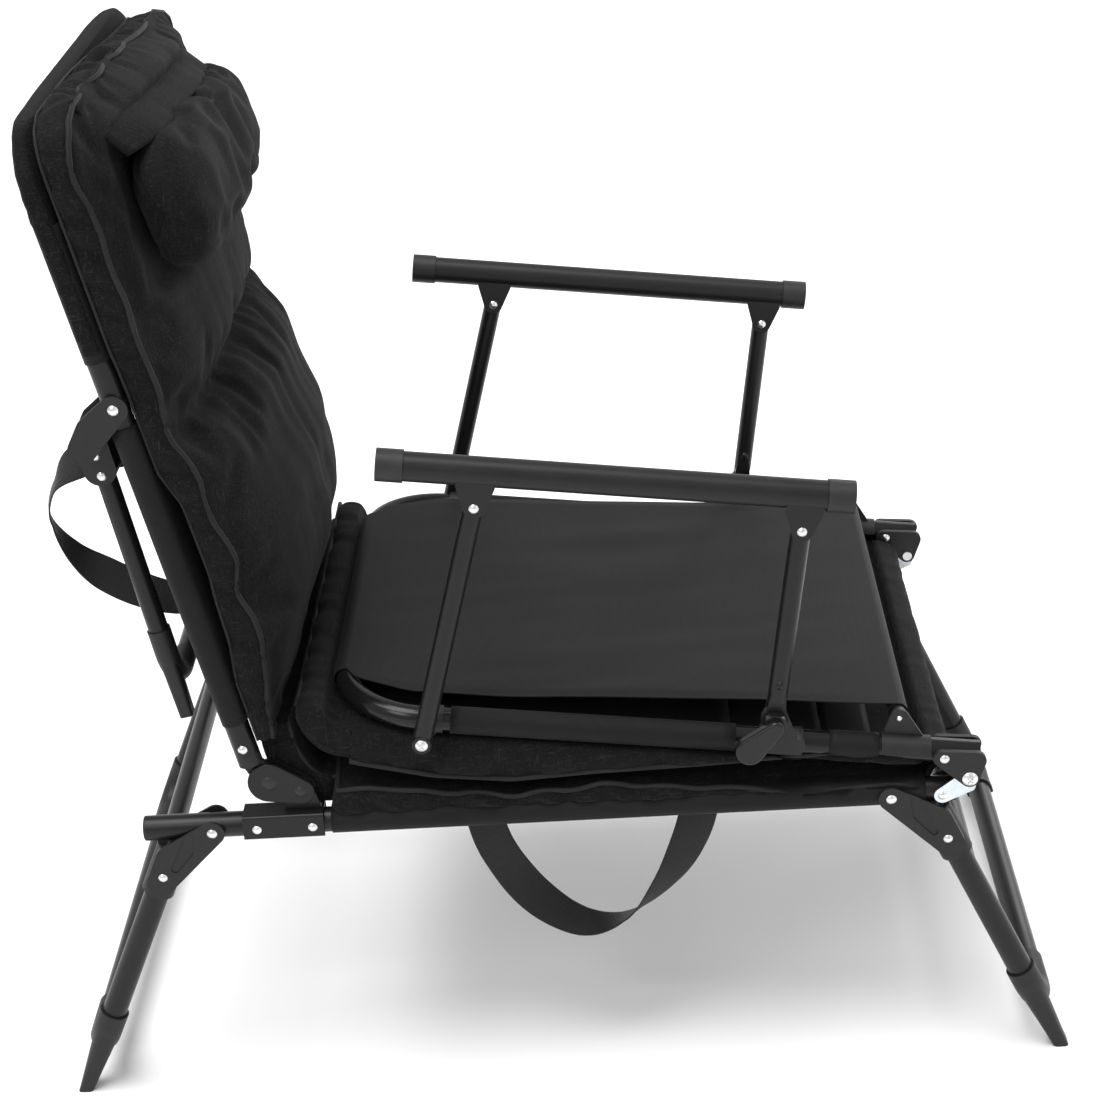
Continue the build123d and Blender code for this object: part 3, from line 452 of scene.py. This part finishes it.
def painted_metal(name, base, rough, grain=2400.0, depth=0.00004):
    """Powder coat: a fine orange peel, faint rubbed patches and small scuffs."""
    n = Nodes(name)
    peel = n.noise(n.place, grain, 2.0)
    rub = n.noise(n.place, 22, 4.0, 0.6)
    scuffs = n.noise(n.mapped((0.4, 0.3, 0), (1, 0.12, 1)), 300, 3.0, 0.7)
    marks = n.ramp(scuffs, [(0.66, 0.0), (0.74, 1.0)])
    tone = n.math("ADD", n.math("MULTIPLY", rub, 0.5), n.math("MULTIPLY", marks, 0.25))
    dark, bright = base * 0.75, base * 1.5
    colour = n.ramp(tone, [(0.1, (dark, dark, dark * 1.05)), (0.7, (bright, bright, bright * 1.05))])
    level = n.math("ADD", n.math("MULTIPLY", rub, 0.16), rough - 0.08)
    level = n.math("ADD", level, n.math("MULTIPLY", marks, 0.08))
    return n.finish(colour, level, peel, depth, Specular_IOR_Level=0.24)


def moulded(name, base, rough, depth=0.00012):
    """Moulded plastic with a spark-eroded grain."""
    n = Nodes(name)
    grain = n.noise(n.place, 1100, 3.0, 0.6)
    flow = n.noise(n.place, 60, 3.0)
    tone = n.math("ADD", n.math("MULTIPLY", grain, 0.3), n.math("MULTIPLY", flow, 0.7))
    dark, bright = base * 0.8, base * 1.35
    colour = n.ramp(tone, [(0.3, (dark, dark, dark * 1.03)), (0.7, (bright, bright, bright * 1.03))])
    level = n.math("ADD", n.math("MULTIPLY", flow, 0.14), rough - 0.07)
    return n.finish(colour, level, grain, depth, Specular_IOR_Level=0.28)


def bright_metal(name, base, rough):
    n = Nodes(name)
    grain = n.noise(n.mapped((0, 0, 0.5), (1, 0.1, 1)), 1800, 2.0)
    stain = n.noise(n.place, 90, 3.0)
    level = n.math("ADD", n.math("MULTIPLY", stain, 0.18), rough - 0.06)
    low = tuple(c * 0.8 for c in base)
    colour = n.ramp(stain, [(0.3, low), (0.7, base)])
    return n.finish(colour, level, grain, 0.00003, Metallic=1.0)


BACK_TILT = BACK_LEAN
pad_back = pad_cloth("pad_cloth_back", BACK_TILT)
pad_seat = pad_cloth("pad_cloth_seat", 0.0)
pad_foot = pad_cloth("pad_cloth_foot", -FOOT_SLOPE)
piping_cloth = plain_cloth("piping_cloth", 0.0, 0.0016, 0.02)
sling_cloth = plain_cloth("sling_cloth", 0.0, 0.0012, 0.012)
back_sling_cloth = plain_cloth("sling_cloth_back", BACK_TILT, 0.0012, 0.012)
panel_cloth = plain_cloth("panel_cloth", -FOOT_SLOPE, 0.0011, 0.012)
strap_cloth = webbing_cloth("strap_cloth")
paint = painted_metal("satin_paint", 0.007, 0.34)
paint_gloss = painted_metal("gloss_paint", 0.006, 0.2, 1800.0, 0.00002)
arm_paint = painted_metal("arm_paint", 0.009, 0.4)
plastic = moulded("moulded_plastic", 0.009, 0.5)
cap_plastic = moulded("cap_plastic", 0.014, 0.46, 0.0002)
knob_plastic = moulded("knob_plastic", 0.007, 0.22, 0.00004)
rivet_steel = bright_metal("rivet_steel", (0.74, 0.74, 0.75), 0.28)
zinc_steel = bright_metal("zinc_steel", (0.62, 0.67, 0.72), 0.24)
black_steel = painted_metal("black_screw", 0.02, 0.4)

# CAD nodes keep their shape and take these materials
LOOKS = {
    "painted_tube": paint, "moulded_plastic": plastic, "knob_plastic": knob_plastic,
    "rivet_steel": rivet_steel, "zinc_steel": zinc_steel, "black_screw": black_steel,
    "pad_fabric": pad_seat, "sling_fabric": sling_cloth, "webbing": strap_cloth,
}
slot_of = {part["node"]: part["material_slot"] for part in frame["record"]["subparts"]}
for node_name, node in frame["nodes"].items():
    look = LOOKS[slot_of[node_name]]
    if node_name == "foot_frame":
        look = paint_gloss
    elif node_name.startswith("armrest_tube"):
        look = arm_paint
    elif node_name.startswith("armrest_caps"):
        look = cap_plastic
    node.data.materials.clear()
    node.data.materials.append(look)


def put(obj, body, slot, *nodes):
    if nodes:
        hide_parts(*nodes)
    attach(obj, body)
    return obj


# Backrest upholstery

BACK_LOW, BACK_HIGH, CREASE = 50.0, 678.0, 377.0
WIDE_HALF, NARROW_HALF = 264.0, 257.5
BACK_CORNER = 46
PILLOW_LOW, PILLOW_HIGH = 494.0, 622.0


def back_half(s):
    """Half width, drawn in round the top corners."""
    inset = np.clip(s - (BACK_HIGH - BACK_CORNER), 0, BACK_CORNER)
    half = NARROW_HALF + (WIDE_HALF - NARROW_HALF) * smooth(s, 440, 470)
    return half - (BACK_CORNER - np.sqrt(np.maximum(BACK_CORNER ** 2 - inset ** 2, 0)))


def droop_place(s, y, n):
    """back_place for the padding, whose top hangs lower towards the left side."""
    return back_place(s - 18 * smooth(y, -120, 230) * smooth(s, 430, 600), y, n)


def back_edge(s):
    """Front piping line, forward of the tube axis."""
    return np.interp(s, [41, 109, 149, 206, 236, 280, 322, 352, 383, 404, 445, 509, 565, 675, 690],
                     [27, 45, 53, 49, 54, 50, 51, 42, 38, 41, 42, 44, 46, 46, 42])


def back_rear(s, y):
    at_edge = np.interp(s, [41, 116, 157, 205, 230, 305, 340, 445, 466, 690],
                        [16.5, 17, 24, 26, 29, 28, 17, 16, 16.5, 16.5])
    return 16.5 + (at_edge - 16.5) * smooth(np.abs(y), PAD_HALF - 60, PAD_HALF - 14)


def back_front(s, y):
    edge = back_edge(s)
    across = 1 - np.minimum(np.abs(y) / PAD_HALF, 1) ** 2.5
    lump = 37 * across * (0.15 + 0.85 * smooth(s, 60, 190)) * (1 - 0.85 * smooth(s, 640, 682))
    lump -= 21 * bump(s, CREASE + 9 * np.sin(y / 120), 11) * (0.3 + 0.7 * across)
    lump += 3 * bump(s, 430, 34) * across
    lump += 12 * bump(s, 215, 80) * across
    lump -= 7 * bump(s, CREASE + 22, 7) * bump(y, -205, 34)
    pillow = smooth(s, PILLOW_LOW - 14, PILLOW_LOW + 12) * (1 - smooth(s, PILLOW_HIGH, PILLOW_HIGH + 24))
    lump -= 24 * pillow * (1 - smooth(np.abs(y), 196, 236)) * across
    lump += 2.2 * wobble2(s, y, 5, 90, 60) * across
    lump += 1.6 * wobble2(s + 0.7 * y, y, 6, 160, 16) * across * (0.4 + bump(s, 330, 60))
    return edge + np.maximum(lump, -3)


back = Cushion(droop_place, BACK_LOW, BACK_HIGH, back_half, back_rear, back_front,
               step=8.0, band=5, band_out=4.0, ruffle=5.2, seed=11, edge_wave=4.2)
near_crease = 0.75 * bump(back.u, CREASE, 10)
back_pins = back.pins(np.clip(0.08 + near_crease + 0.5 * (np.abs(back.y) > NARROW_HALF - 16), 0, 1), 0.3)
back_cushion = back.build("back_cushion", pad_back, back_pins, 3.0, 0.045, 8)
put(back_cushion, "backrest", "pad_fabric", "back_pad")


def piping_of(cushion, name, ring, radius=2.6):
    """A welt along one of a cushion's seams."""
    return tube_mesh(name, cushion.points[ring], radius, piping_cloth, closed=True)


put(piping_of(back, "back_piping_front", back.ring), "backrest", "pad_fabric")
put(piping_of(back, "back_piping_rear", back.rear_ring, 1.5), "backrest", "pad_fabric")


# The hood is a pocket of the cover, pulled down over the top of the frame

HOOD_LOW, HOOD_TOP, HOOD_CORNER = 468.0, 675.0, 52


def hood_half(s):
    inset = np.clip(s - (HOOD_TOP - HOOD_CORNER), 0, HOOD_CORNER)
    return WIDE_HALF + 1 - (HOOD_CORNER - np.sqrt(np.maximum(HOOD_CORNER ** 2 - inset ** 2, 0)))


def hood_ring(s, count=120):
    """One cross-section of the pocket: round the tubes, with a flat rear and front."""
    half = hood_half(np.array(s))
    near = smooth(np.array(s), HOOD_TOP - 30, HOOD_TOP)
    depth_front, depth_rear = 15.6 - 4 * near, 17 - 6 * near
    turn = np.arange(count) * 2 * math.pi / count
    c, d = np.cos(turn), np.sin(turn)
    y = np.sign(c) * np.abs(c) ** 0.35 * half
    n = np.sign(d) * np.abs(d) ** 0.6 * np.where(d > 0, depth_front, depth_rear)
    gather = 1.3 * wobble2(np.full(count, s), y, 21, 9, 400) * np.abs(c) ** 2
    gather += 1.6 * wobble2(np.full(count, s), y, 22, 45, 60) * (d < 0)
    y = y + np.sign(c) * gather
    n = n - (d < 0) * (0.8 + gather * 0.5)
    return back_place(np.full(count, s), y, n)


hood_corner = np.sin(np.linspace(0.05, 1, 14) * math.pi / 2)
hood_steps = np.concatenate([np.linspace(HOOD_LOW, HOOD_TOP - HOOD_CORNER, 30),
                             HOOD_TOP - HOOD_CORNER * (1 - hood_corner)])
hood_rings = [hood_ring(s) for s in hood_steps]
ring_count = hood_rings[0].shape[0]
points = np.array(hood_rings)
hood_faces = grid_faces(len(hood_steps), ring_count, loop=True)
top_start = (len(hood_steps) - 1) * ring_count
half_count = ring_count // 2
for i in range(half_count - 1):
    opposite = top_start + (ring_count - i - 1) % ring_count
    before = top_start + (ring_count - i - 2) % ring_count
    hood_faces.append((top_start + i, top_start + i + 1, before, opposite))
hood = make_mesh("back_hood", to_row(points), hood_faces, pad_back)
apply_modifier(hood, "SOLIDIFY", thickness=0.0012, offset=-1)
put(hood, "backrest", "pad_fabric")


# Head pillow and the flap that holds it

def pillow_point(a, v):
    """a runs round the pillow's section from 0 to 1, v across it from -1 to 1."""
    turn = a * 2 * math.pi
    end = np.clip((np.abs(v) - 0.66) / 0.34, 0, 1)
    full = np.sqrt(np.maximum(1 - end ** 2.4, 0)) * 0.94 + 0.06
    c, d = np.cos(turn), np.sin(turn)
    s = (PILLOW_LOW + PILLOW_HIGH) / 2 + np.sign(c) * np.abs(c) ** 0.8 * 64 * full * (1 - 0.12 * d)
    n = 103 + np.sign(d) * np.abs(d) ** 0.75 * 34 * full - 8 * v ** 2 - 12 * smooth(v, 0, 1)
    y = v * 214
    crease = 1.8 * wobble2(turn * 60, y, 31, 40, 34) + 1.2 * wobble2(turn * 60, y, 32, 16, 60)
    return droop_place(s + c * crease, y, n + d * crease)


pillow_a = np.linspace(0, 1, 56, endpoint=False)[None, :] * np.ones((52, 1))
pillow_v = np.sin(np.linspace(-1, 1, 52) * math.pi / 2)[:, None] * np.ones((1, 56))
pillow_points = pillow_point(pillow_a, pillow_v)
pillow_faces = grid_faces(52, 56, loop=True)
pillow_faces += [tuple(range(56)), tuple(51 * 56 + i for i in reversed(range(56)))]
pillow = make_mesh("pillow", to_row(pillow_points), pillow_faces, pad_back)
pillow_weight = np.clip(0.15 + 0.8 * (pillow_points.reshape(-1, 3) @ np.array([BACK_OUT[0], 0, BACK_OUT[1]])
                                      < (BACK_FOOT[0] * BACK_OUT[0] + BACK_FOOT[1] * BACK_OUT[1] + 80)), 0, 1)
inflate(pillow, pillow_weight, 3.0, 0.04, 8, 16)
apply_modifier(pillow, "SUBSURF", levels=1, render_levels=1)
put(pillow, "backrest", "pad_fabric", "head_pillow")

flap_t = np.linspace(0, 1, 22)[:, None] * np.ones((1, 40))
flap_y = (-8 + np.linspace(-1, 1, 40)[None, :] * (212 - 14 * flap_t))
flap_s = 681 - 62 * flap_t
flap_fall = 8 * (flap_y / 214) ** 2 + 12 * smooth(flap_y / 214, 0, 1) + 22 * smooth(np.abs(flap_y), 150, 215)
flap_n = 49 + 16 * np.sin(flap_t * math.pi * 0.5) + 42 * flap_t ** 1.5 - flap_fall * flap_t
flap_n = flap_n + 1.5 * wobble2(flap_s, flap_y, 41, 50, 30)
flap = sheet_mesh("pillow_flap", droop_place(flap_s, flap_y, flap_n), 2.4, pad_back)
put(flap, "backrest", "pad_fabric")


# Seat and foot cushions, one on the other

SEAT_LOW, SEAT_HIGH = 66.0, 654.0


def seat_half(x):
    return PAD_HALF - 1 - 29 * smooth(x, 632, 650)


def seat_seam(x):
    """Height of the seat cushion's upper seam along its sides."""
    return np.interp(x, [66, 163, 244, 322, 419, 516, 613, 654], [350, 341, 331, 340, 332, 320, 323, 312])


def foot_seam(x):
    """Height of the foot cushion's lower seam along its sides."""
    return np.interp(x, [84, 168, 245, 323, 420, 517, 613, 654], [378, 357, 348, 352, 354, 358, 357, 346])


def seam_gap(x, y, edge):
    """From the height where the cushions meet, inside, to a seam's height at the sides."""
    meeting = (seat_seam(x) + foot_seam(x)) / 2
    return meeting + (edge - meeting) * smooth(np.abs(y), PAD_HALF - 46, PAD_HALF - 6)


def seat_rear(x, y):
    inside = smooth(HALF_WIDTH - 2 - np.abs(y), 0, 30)
    return 318 + 6.5 * inside + 0 * x


def seat_front(x, y):
    return seam_gap(x, y, seat_seam(x)) - 1.5


seat = Cushion(flat_place, SEAT_LOW, SEAT_HIGH, seat_half, seat_rear, seat_front,
               step=8.5, band=5, band_out=6.0, ruffle=4.6, seed=23, edge_wave=3.0)
seat_cushion = seat.build("seat_cushion", pad_seat, seat.pins(0.6, 0.25), 3.0, 0.03, 6)
put(seat_cushion, "base", "pad_fabric", "seat_pad")
put(piping_of(seat, "seat_piping", seat.ring), "base", "pad_fabric")


def foot_edge_n(s, y):
    """Height of the foot cushion's lower face under the tubes."""
    x = FOOT_FRONT[0] - s * math.cos(FOOT_SLOPE)
    tube_z = FOOT_FRONT[1] + s * math.sin(FOOT_SLOPE)
    return (seam_gap(x, y, foot_seam(x)) + 1.5 - tube_z) / math.cos(FOOT_SLOPE)


def foot_top(s, y):
    inside = smooth(HALF_WIDTH - 14 - np.abs(y), 0, 10)
    return -14.6 + 0 * s - 0.6 * inside


def foot_half(s):
    return PAD_HALF - 1 - 29 * (1 - smooth(s, 40, 58))


foot = Cushion(foot_place, 36.0, 606.0, foot_half, foot_edge_n, foot_top,
               step=8.5, band=5, band_out=6.5, ruffle=4.8, seed=37, edge_wave=0.0)
foot_cushion = foot.build("foot_cushion", pad_foot, foot.pins(0.8, 0.25), 3.0, 0.03, 6)
put(foot_cushion, "foot_section", "pad_fabric", "foot_pad")
put(piping_of(foot, "foot_piping", foot.rear_ring), "foot_section", "pad_fabric")


# The mattress turns up behind the seat, round the rear bar and forward under the hinge

def roll(name, outline, half, seed, gather=1.6, shift=0.0):
    """A soft closed roll across the chair. outline is its XZ section, closed."""
    section = resample(outline + [outline[0]], 4.0)[:-1]
    y = np.sin(np.linspace(-1, 1, 90) * math.pi / 2) * half
    centre = section.mean(0)
    inset = 1 - 0.35 * smooth(np.abs(y), half - 7, half)
    points = centre + (section - centre)[None, :, :] * inset[:, None, None]
    turn = np.arange(len(section))[None, :] * 4.0
    radial = (section - centre) / np.linalg.norm(section - centre, axis=1)[:, None]
    ripple = gather * wobble2(y[:, None], turn, seed, 17, 60)
    points = points + ripple[:, :, None] * radial[None, :, :]
    grid = np.stack([points[..., 0], y[:, None] + shift + 0 * turn, points[..., 1]], -1)
    count = len(section)
    faces = grid_faces(len(y), count, loop=True)
    faces += [tuple(range(count)), tuple((len(y) - 1) * count + j for j in reversed(range(count)))]
    obj = make_mesh(name, to_row(grid), faces, pad_seat)
    apply_modifier(obj, "SUBSURF", levels=1, render_levels=1)
    return obj


def side_welt(name, line, half, step=6.0, radius=2.4):
    """Piping up one side of a roll, across its edge and down the other side."""
    near = [(x, -half, z) for x, z in line]
    far = [(x, half, z) for x, z in reversed(line)]
    path = np.concatenate([resample(near, step), resample([near[-1], far[0]], step)[1:],
                           resample(far, step)[1:]])
    return tube_mesh(name, path, radius, piping_cloth)


RECLINE_HALF, END_HALF, FRONT_HALF = 240.0, 256.0, 229.0
rear_lower = [(72, 320), (40, 322), (14, 332), (-2, 362), (-6, 405)]
rear_upper = [(24, 412), (26, 390), (36, 366), (50, 352), (72, 350)]
rear_fold = roll("mattress_fold_rear", rear_lower + rear_upper, RECLINE_HALF, 81)
rear_welt = side_welt("mattress_welt_rear", rear_upper[::-1], RECLINE_HALF - 4)
for obj in (rear_fold, rear_welt):
    to_row((60, 0, 335))
    to_row((5, 0, 395))
    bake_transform(obj)

front_outline = [(640, 324), (658, 326), (666, 334), (664, 345), (652, 352), (640, 353)]
front_fold = roll("mattress_fold_front", front_outline, FRONT_HALF, 83, 0.8)
to_row((655, 0, 326))
to_row((655, 0, 352))
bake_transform(front_fold)

end_outer = [(96, 376), (62, 384), (44, 397), (34, 414), (33, 432)]
end_inner = [(44, 438), (58, 434), (61, 422), (69, 413), (80, 411), (96, 410)]
foot_end = roll("foot_cushion_end", end_outer + end_inner, END_HALF - 10, 85, 2.0, -10.0)
put(foot_end, "foot_section", "pad_fabric")
put(side_welt("foot_welt_end", end_outer, END_HALF - 19), "foot_section", "pad_fabric")


# Slings and the seat panel

def sleeve_strip(place, s_low, s_high, radius, face, sag, seed, name, material, side_turns=14):
    """Cloth across the frame whose sides wrap round the tubes. face is +1 in front, -1 behind."""
    rows = max(8, int((s_high - s_low) / 12))
    s = np.linspace(s_low, s_high, rows)
    wrap = np.linspace(0, 1.9 * math.pi, side_turns * 2)[::-1]
    left_y = -HALF_WIDTH + radius * np.sin(-wrap)
    left_n = face * radius * np.cos(wrap)
    middle_y = np.linspace(-HALF_WIDTH, HALF_WIDTH, 42)[1:-1]
    hang = face * radius - sag * (1 - (middle_y / HALF_WIDTH) ** 2)
    y = np.concatenate([left_y, middle_y, -left_y[::-1]])
    n = np.concatenate([left_n, hang, left_n[::-1]])
    grid_s = s[:, None] * np.ones((1, len(y)))
    grid_y = np.ones((rows, 1)) * y[None, :]
    grid_n = np.ones((rows, 1)) * n[None, :]
    inside = (np.abs(grid_y) < HALF_WIDTH - 12)
    grid_n = grid_n + inside * 0.5 * wobble2(grid_s, grid_y, seed, 70, 50)
    return sheet_mesh(name, place(grid_s, grid_y, grid_n), 0.9, material)


def seat_place(x, y, n):
    return flat_place(x, y, 310 + n)


seat_sling = sleeve_strip(seat_place, 57, 638, 13.4, 1, 0.6, 61, "seat_sling_cloth", sling_cloth)
put(seat_sling, "base", "sling_fabric", "seat_sling")

low_part = sleeve_strip(back_place, 72, 392, 12.9, 1, -0.6, 63, "back_sling_lower", back_sling_cloth)
put(low_part, "backrest", "sling_fabric", "back_sling")
high_part = sleeve_strip(back_place, 458, 590, 12.9, 1, -0.6, 64, "back_sling_upper", back_sling_cloth)
put(high_part, "backrest", "sling_fabric")
middle_s = np.linspace(391, 459, 8)[:, None] * np.ones((1, 30))
middle_y = np.linspace(-228, 228, 30)[None, :] * np.ones((8, 1))
middle_points = back_place(middle_s, middle_y, 13.3 + 0 * middle_y)
middle_part = sheet_mesh("back_sling_middle", middle_points, 0.9, back_sling_cloth)
put(middle_part, "backrest", "sling_fabric")

for index, (s_low, s_high) in enumerate(((98, 146), (237, 512))):
    strip = sleeve_strip(foot_place, s_low, s_high, 13.0, -1, -0.4, 65 + index,
                         f"foot_sling_{index}", sling_cloth)
    put(strip, "foot_section", "sling_fabric", *(["foot_sling"] if index else []))
gap_s = np.linspace(145, 238, 10)[:, None] * np.ones((1, 30))
gap_y = np.linspace(-218, 218, 30)[None, :] * np.ones((10, 1))
foot_middle = sheet_mesh("foot_sling_middle", foot_place(gap_s, gap_y, -13.3 + 0 * gap_y), 0.9, sling_cloth)
put(foot_middle, "foot_section", "sling_fabric")

# Seat panel: from round the rear bar, over the top, to round the cross tube
REAR_BAR = tuple(foot_place(FOOT_LENGTH, 0.0, 0.0)[[0, 2]])
PANEL_HALF, PANEL_BAR_HALF = 232.0, 168.0
rear_r, front_r = 13.2, 9.2
panel_angle = math.atan2(CROSS_BAR[1] + front_r - REAR_BAR[1] - rear_r, CROSS_BAR[0] - REAR_BAR[0])
normal_angle = panel_angle + math.pi / 2
profile = []
for turn in np.linspace(2.0 * math.pi, 0.06, 20):
    angle = normal_angle + turn
    profile.append((REAR_BAR[0] + rear_r * math.cos(angle), REAR_BAR[1] + rear_r * math.sin(angle)))
start_top = (REAR_BAR[0] + rear_r * math.cos(normal_angle), REAR_BAR[1] + rear_r * math.sin(normal_angle))
end_top = (CROSS_BAR[0] + front_r * math.cos(normal_angle), CROSS_BAR[1] + front_r * math.sin(normal_angle))
for t in np.linspace(0, 1, 56):
    profile.append((start_top[0] + (end_top[0] - start_top[0]) * t,
                    start_top[1] + (end_top[1] - start_top[1]) * t))
for turn in np.linspace(0.06, 2.0 * math.pi, 18):
    angle = normal_angle - turn
    profile.append((CROSS_BAR[0] + front_r * math.cos(angle), CROSS_BAR[1] + front_r * math.sin(angle)))
profile = np.array(profile)
panel_t = np.concatenate([np.zeros(20), np.linspace(0, 1, 56), np.ones(18)])
half_line = np.interp(panel_t, [0, 0.02, 0.12, 0.3, 0.75, 0.97, 1.0],
                      [PANEL_BAR_HALF + 16, PANEL_BAR_HALF + 34, 226, 231, 229, 236, PANEL_HALF + 4])
cross_v = np.sin(np.linspace(-1, 1, 60) * math.pi / 2 * 0.985) / math.sin(math.pi / 2 * 0.985)
panel_y = half_line[:, None] * cross_v[None, :]
panel_x = profile[:, 0][:, None] + 0 * panel_y
panel_z = profile[:, 1][:, None] + 0 * panel_y
inner = np.sin(np.clip(panel_t, 0, 1) * math.pi)[:, None]
sag = -2.5 * inner * (1 - cross_v[None, :] ** 2)
edge_roll = -2.2 * inner * smooth(np.abs(cross_v), 0.94, 1.0)[None, :]
pull = 1.1 * wobble2(panel_x + 0.9 * panel_y, panel_y - 0.25 * panel_x, 71, 240, 34) * inner
panel_z = panel_z + sag + edge_roll + pull
panel = sheet_mesh("seat_panel", np.stack([panel_x, panel_y, panel_z], -1), 1.2, panel_cloth)
put(panel, "foot_section", "sling_fabric", "foot_seat_panel")


# Carry straps: flat webbing whose ends are sewn to the slings

def ribbon(name, route, widths, width, thickness, material):
    """Webbing along a route. widths gives the direction of its width at each route point."""
    line = resample(route, 5.0)
    keys = np.linspace(0, 1, len(route))
    at = np.linspace(0, 1, len(line))
    facing = np.stack([np.interp(at, keys, [w[k] for w in widths]) for k in range(3)], 1)
    tangent = np.gradient(line, axis=0)
    tangent /= np.linalg.norm(tangent, axis=1)[:, None]
    facing -= tangent * np.sum(facing * tangent, 1)[:, None]
    facing /= np.linalg.norm(facing, axis=1)[:, None]
    normal = np.cross(tangent, facing)
    outline = [(-0.5, -0.3), (-0.46, -0.5), (-0.2, -0.42), (0.2, -0.42), (0.46, -0.5), (0.5, -0.3),
               (0.5, 0.3), (0.46, 0.5), (0.2, 0.42), (-0.2, 0.42), (-0.46, 0.5), (-0.5, 0.3)]
    points = np.array([[p + f * a * width + m * b * thickness for a, b in outline]
                       for p, f, m in zip(line, facing, normal)])
    count = len(outline)
    faces = grid_faces(len(line), count, loop=True)
    faces += [tuple(range(count)), tuple((len(line) - 1) * count + j for j in reversed(range(count)))]
    obj = make_mesh(name, to_row(points), faces, material)
    length = np.sum(np.linalg.norm(np.diff(line, axis=0), axis=1))
    return obj, length / 1000


seat_route = [(201, -216, 322), (203, -217, 290), (216, -219, 243), (250, -222, 190), (297, -225, 158),
              (345, -222, 163), (385, -219, 204), (409, -217, 250), (420, -216, 290), (421, -216, 322)]
seat_widths = [(1, 0, 0), (1, 0, 0), (0.9, 0.1, 0.35), (0.55, 0.55, 0.5), (0.1, 0.95, 0.35),
               (0.1, 0.95, -0.3), (0.5, 0.65, -0.45), (0.9, 0.3, -0.3), (1, 0, 0), (1, 0, 0)]
seat_strap, strap_length = ribbon("seat_strap", seat_route, seat_widths, 38, 1.7, strap_cloth)
put(seat_strap, "base", "webbing", "seat_carry_strap")

back_loop = [(338.0, -187.0, 11.0), (345.0, -187.0, -22.0), (349.0, -188.0, -60.0), (336.0, -190.0, -96.0),
             (300.0, -190.0, -118.0), (255.0, -188.0, -108.0), (215.0, -187.0, -76.0),
             (188.0, -187.0, -38.0), (183.0, -187.0, -14.0), (187.0, -187.0, 11.0)]
back_route = [back_place(*point) for point in back_loop]
up, out = np.array([BACK_UP[0], 0, BACK_UP[1]]), np.array([BACK_OUT[0], 0, BACK_OUT[1]])
across = np.array([0.0, 1.0, 0.0])
back_widths = [up, up, up * 0.8 + across * 0.4, up * 0.2 + across, across - out * 0.3,
               across * 0.9 + up * 0.3, up * 0.8 + across * 0.5, up * 0.9 + across * 0.3, up, up]
back_strap, back_strap_length = ribbon("back_strap", back_route, back_widths, 34, 1.7, strap_cloth)
put(back_strap, "backrest", "webbing", "back_carry_strap")


# Set

def flat_material(name, colour, rough):
    n = Nodes(name)
    cloud = n.noise(n.place, 1.5, 2.0)
    low = tuple(c * 0.985 for c in colour)
    return n.finish(n.ramp(cloud, [(0.3, low), (0.7, colour)]), rough)


floor_mesh = bpy.data.meshes.new("floor")
floor_mesh.from_pydata([(-40, -40, 0), (40, -40, 0), (40, 40, 0), (-40, 40, 0)], [], [(0, 1, 2, 3)])
floor_mesh.materials.append(flat_material("floor_white", (0.86, 0.86, 0.86), 0.6))
floor = bpy.data.objects.new("floor", floor_mesh)
bpy.context.scene.collection.objects.link(floor)

world = bpy.data.worlds.new("studio")
bpy.context.scene.world = world
world.use_nodes = True
world.node_tree.nodes["Background"].inputs[0].default_value = (1, 1, 1, 1)
world.node_tree.nodes["Background"].inputs[1].default_value = 0.8


def area_light(name, place, target, size, power):
    data = bpy.data.lights.new(name, "AREA")
    data.shape = "RECTANGLE"
    data.size, data.size_y = size
    data.energy = power
    light = bpy.data.objects.new(name, data)
    light.location = place
    light.rotation_euler = (Vector(target) - Vector(place)).to_track_quat("-Z", "Y").to_euler()
    bpy.context.scene.collection.objects.link(light)


area_light("key", (-1.6, -2.6, 2.9), (0, 0, 0.4), (1.2, 1.2), 30)
area_light("fill", (2.6, -1.6, 1.8), (0, 0, 0.4), (1.6, 1.6), 8)
area_light("rim", (1.8, 2.6, 1.6), (0, 0, 0.5), (1.4, 1.8), 26)
sky_data = bpy.data.lights.new("overhead", "SUN")
sky_data.energy, sky_data.angle = 2.9, math.radians(40)
sky = bpy.data.objects.new("overhead", sky_data)
sky.rotation_euler = Vector((0.22, 0.12, -1)).to_track_quat("-Z", "Y").to_euler()
bpy.context.scene.collection.objects.link(sky)

camera_data = bpy.data.cameras.new("camera")
camera_data.lens, camera_data.sensor_width = 79.14, 36
camera = bpy.data.objects.new("camera", camera_data)
right, up_way, ahead = (0.99774, 0.01128, -0.06622), (0.05492, 0.43049, 0.90090), (-0.0387, 0.9025, -0.4289)
turn = Matrix((right, up_way, tuple(-v for v in ahead))).transposed().to_4x4()
camera.matrix_world = Matrix.Translation((0.10565, -2.2846, 1.5566)) @ turn
bpy.context.scene.collection.objects.link(camera)
bpy.context.scene.camera = camera
bpy.context.scene.view_settings.view_transform = "Standard"
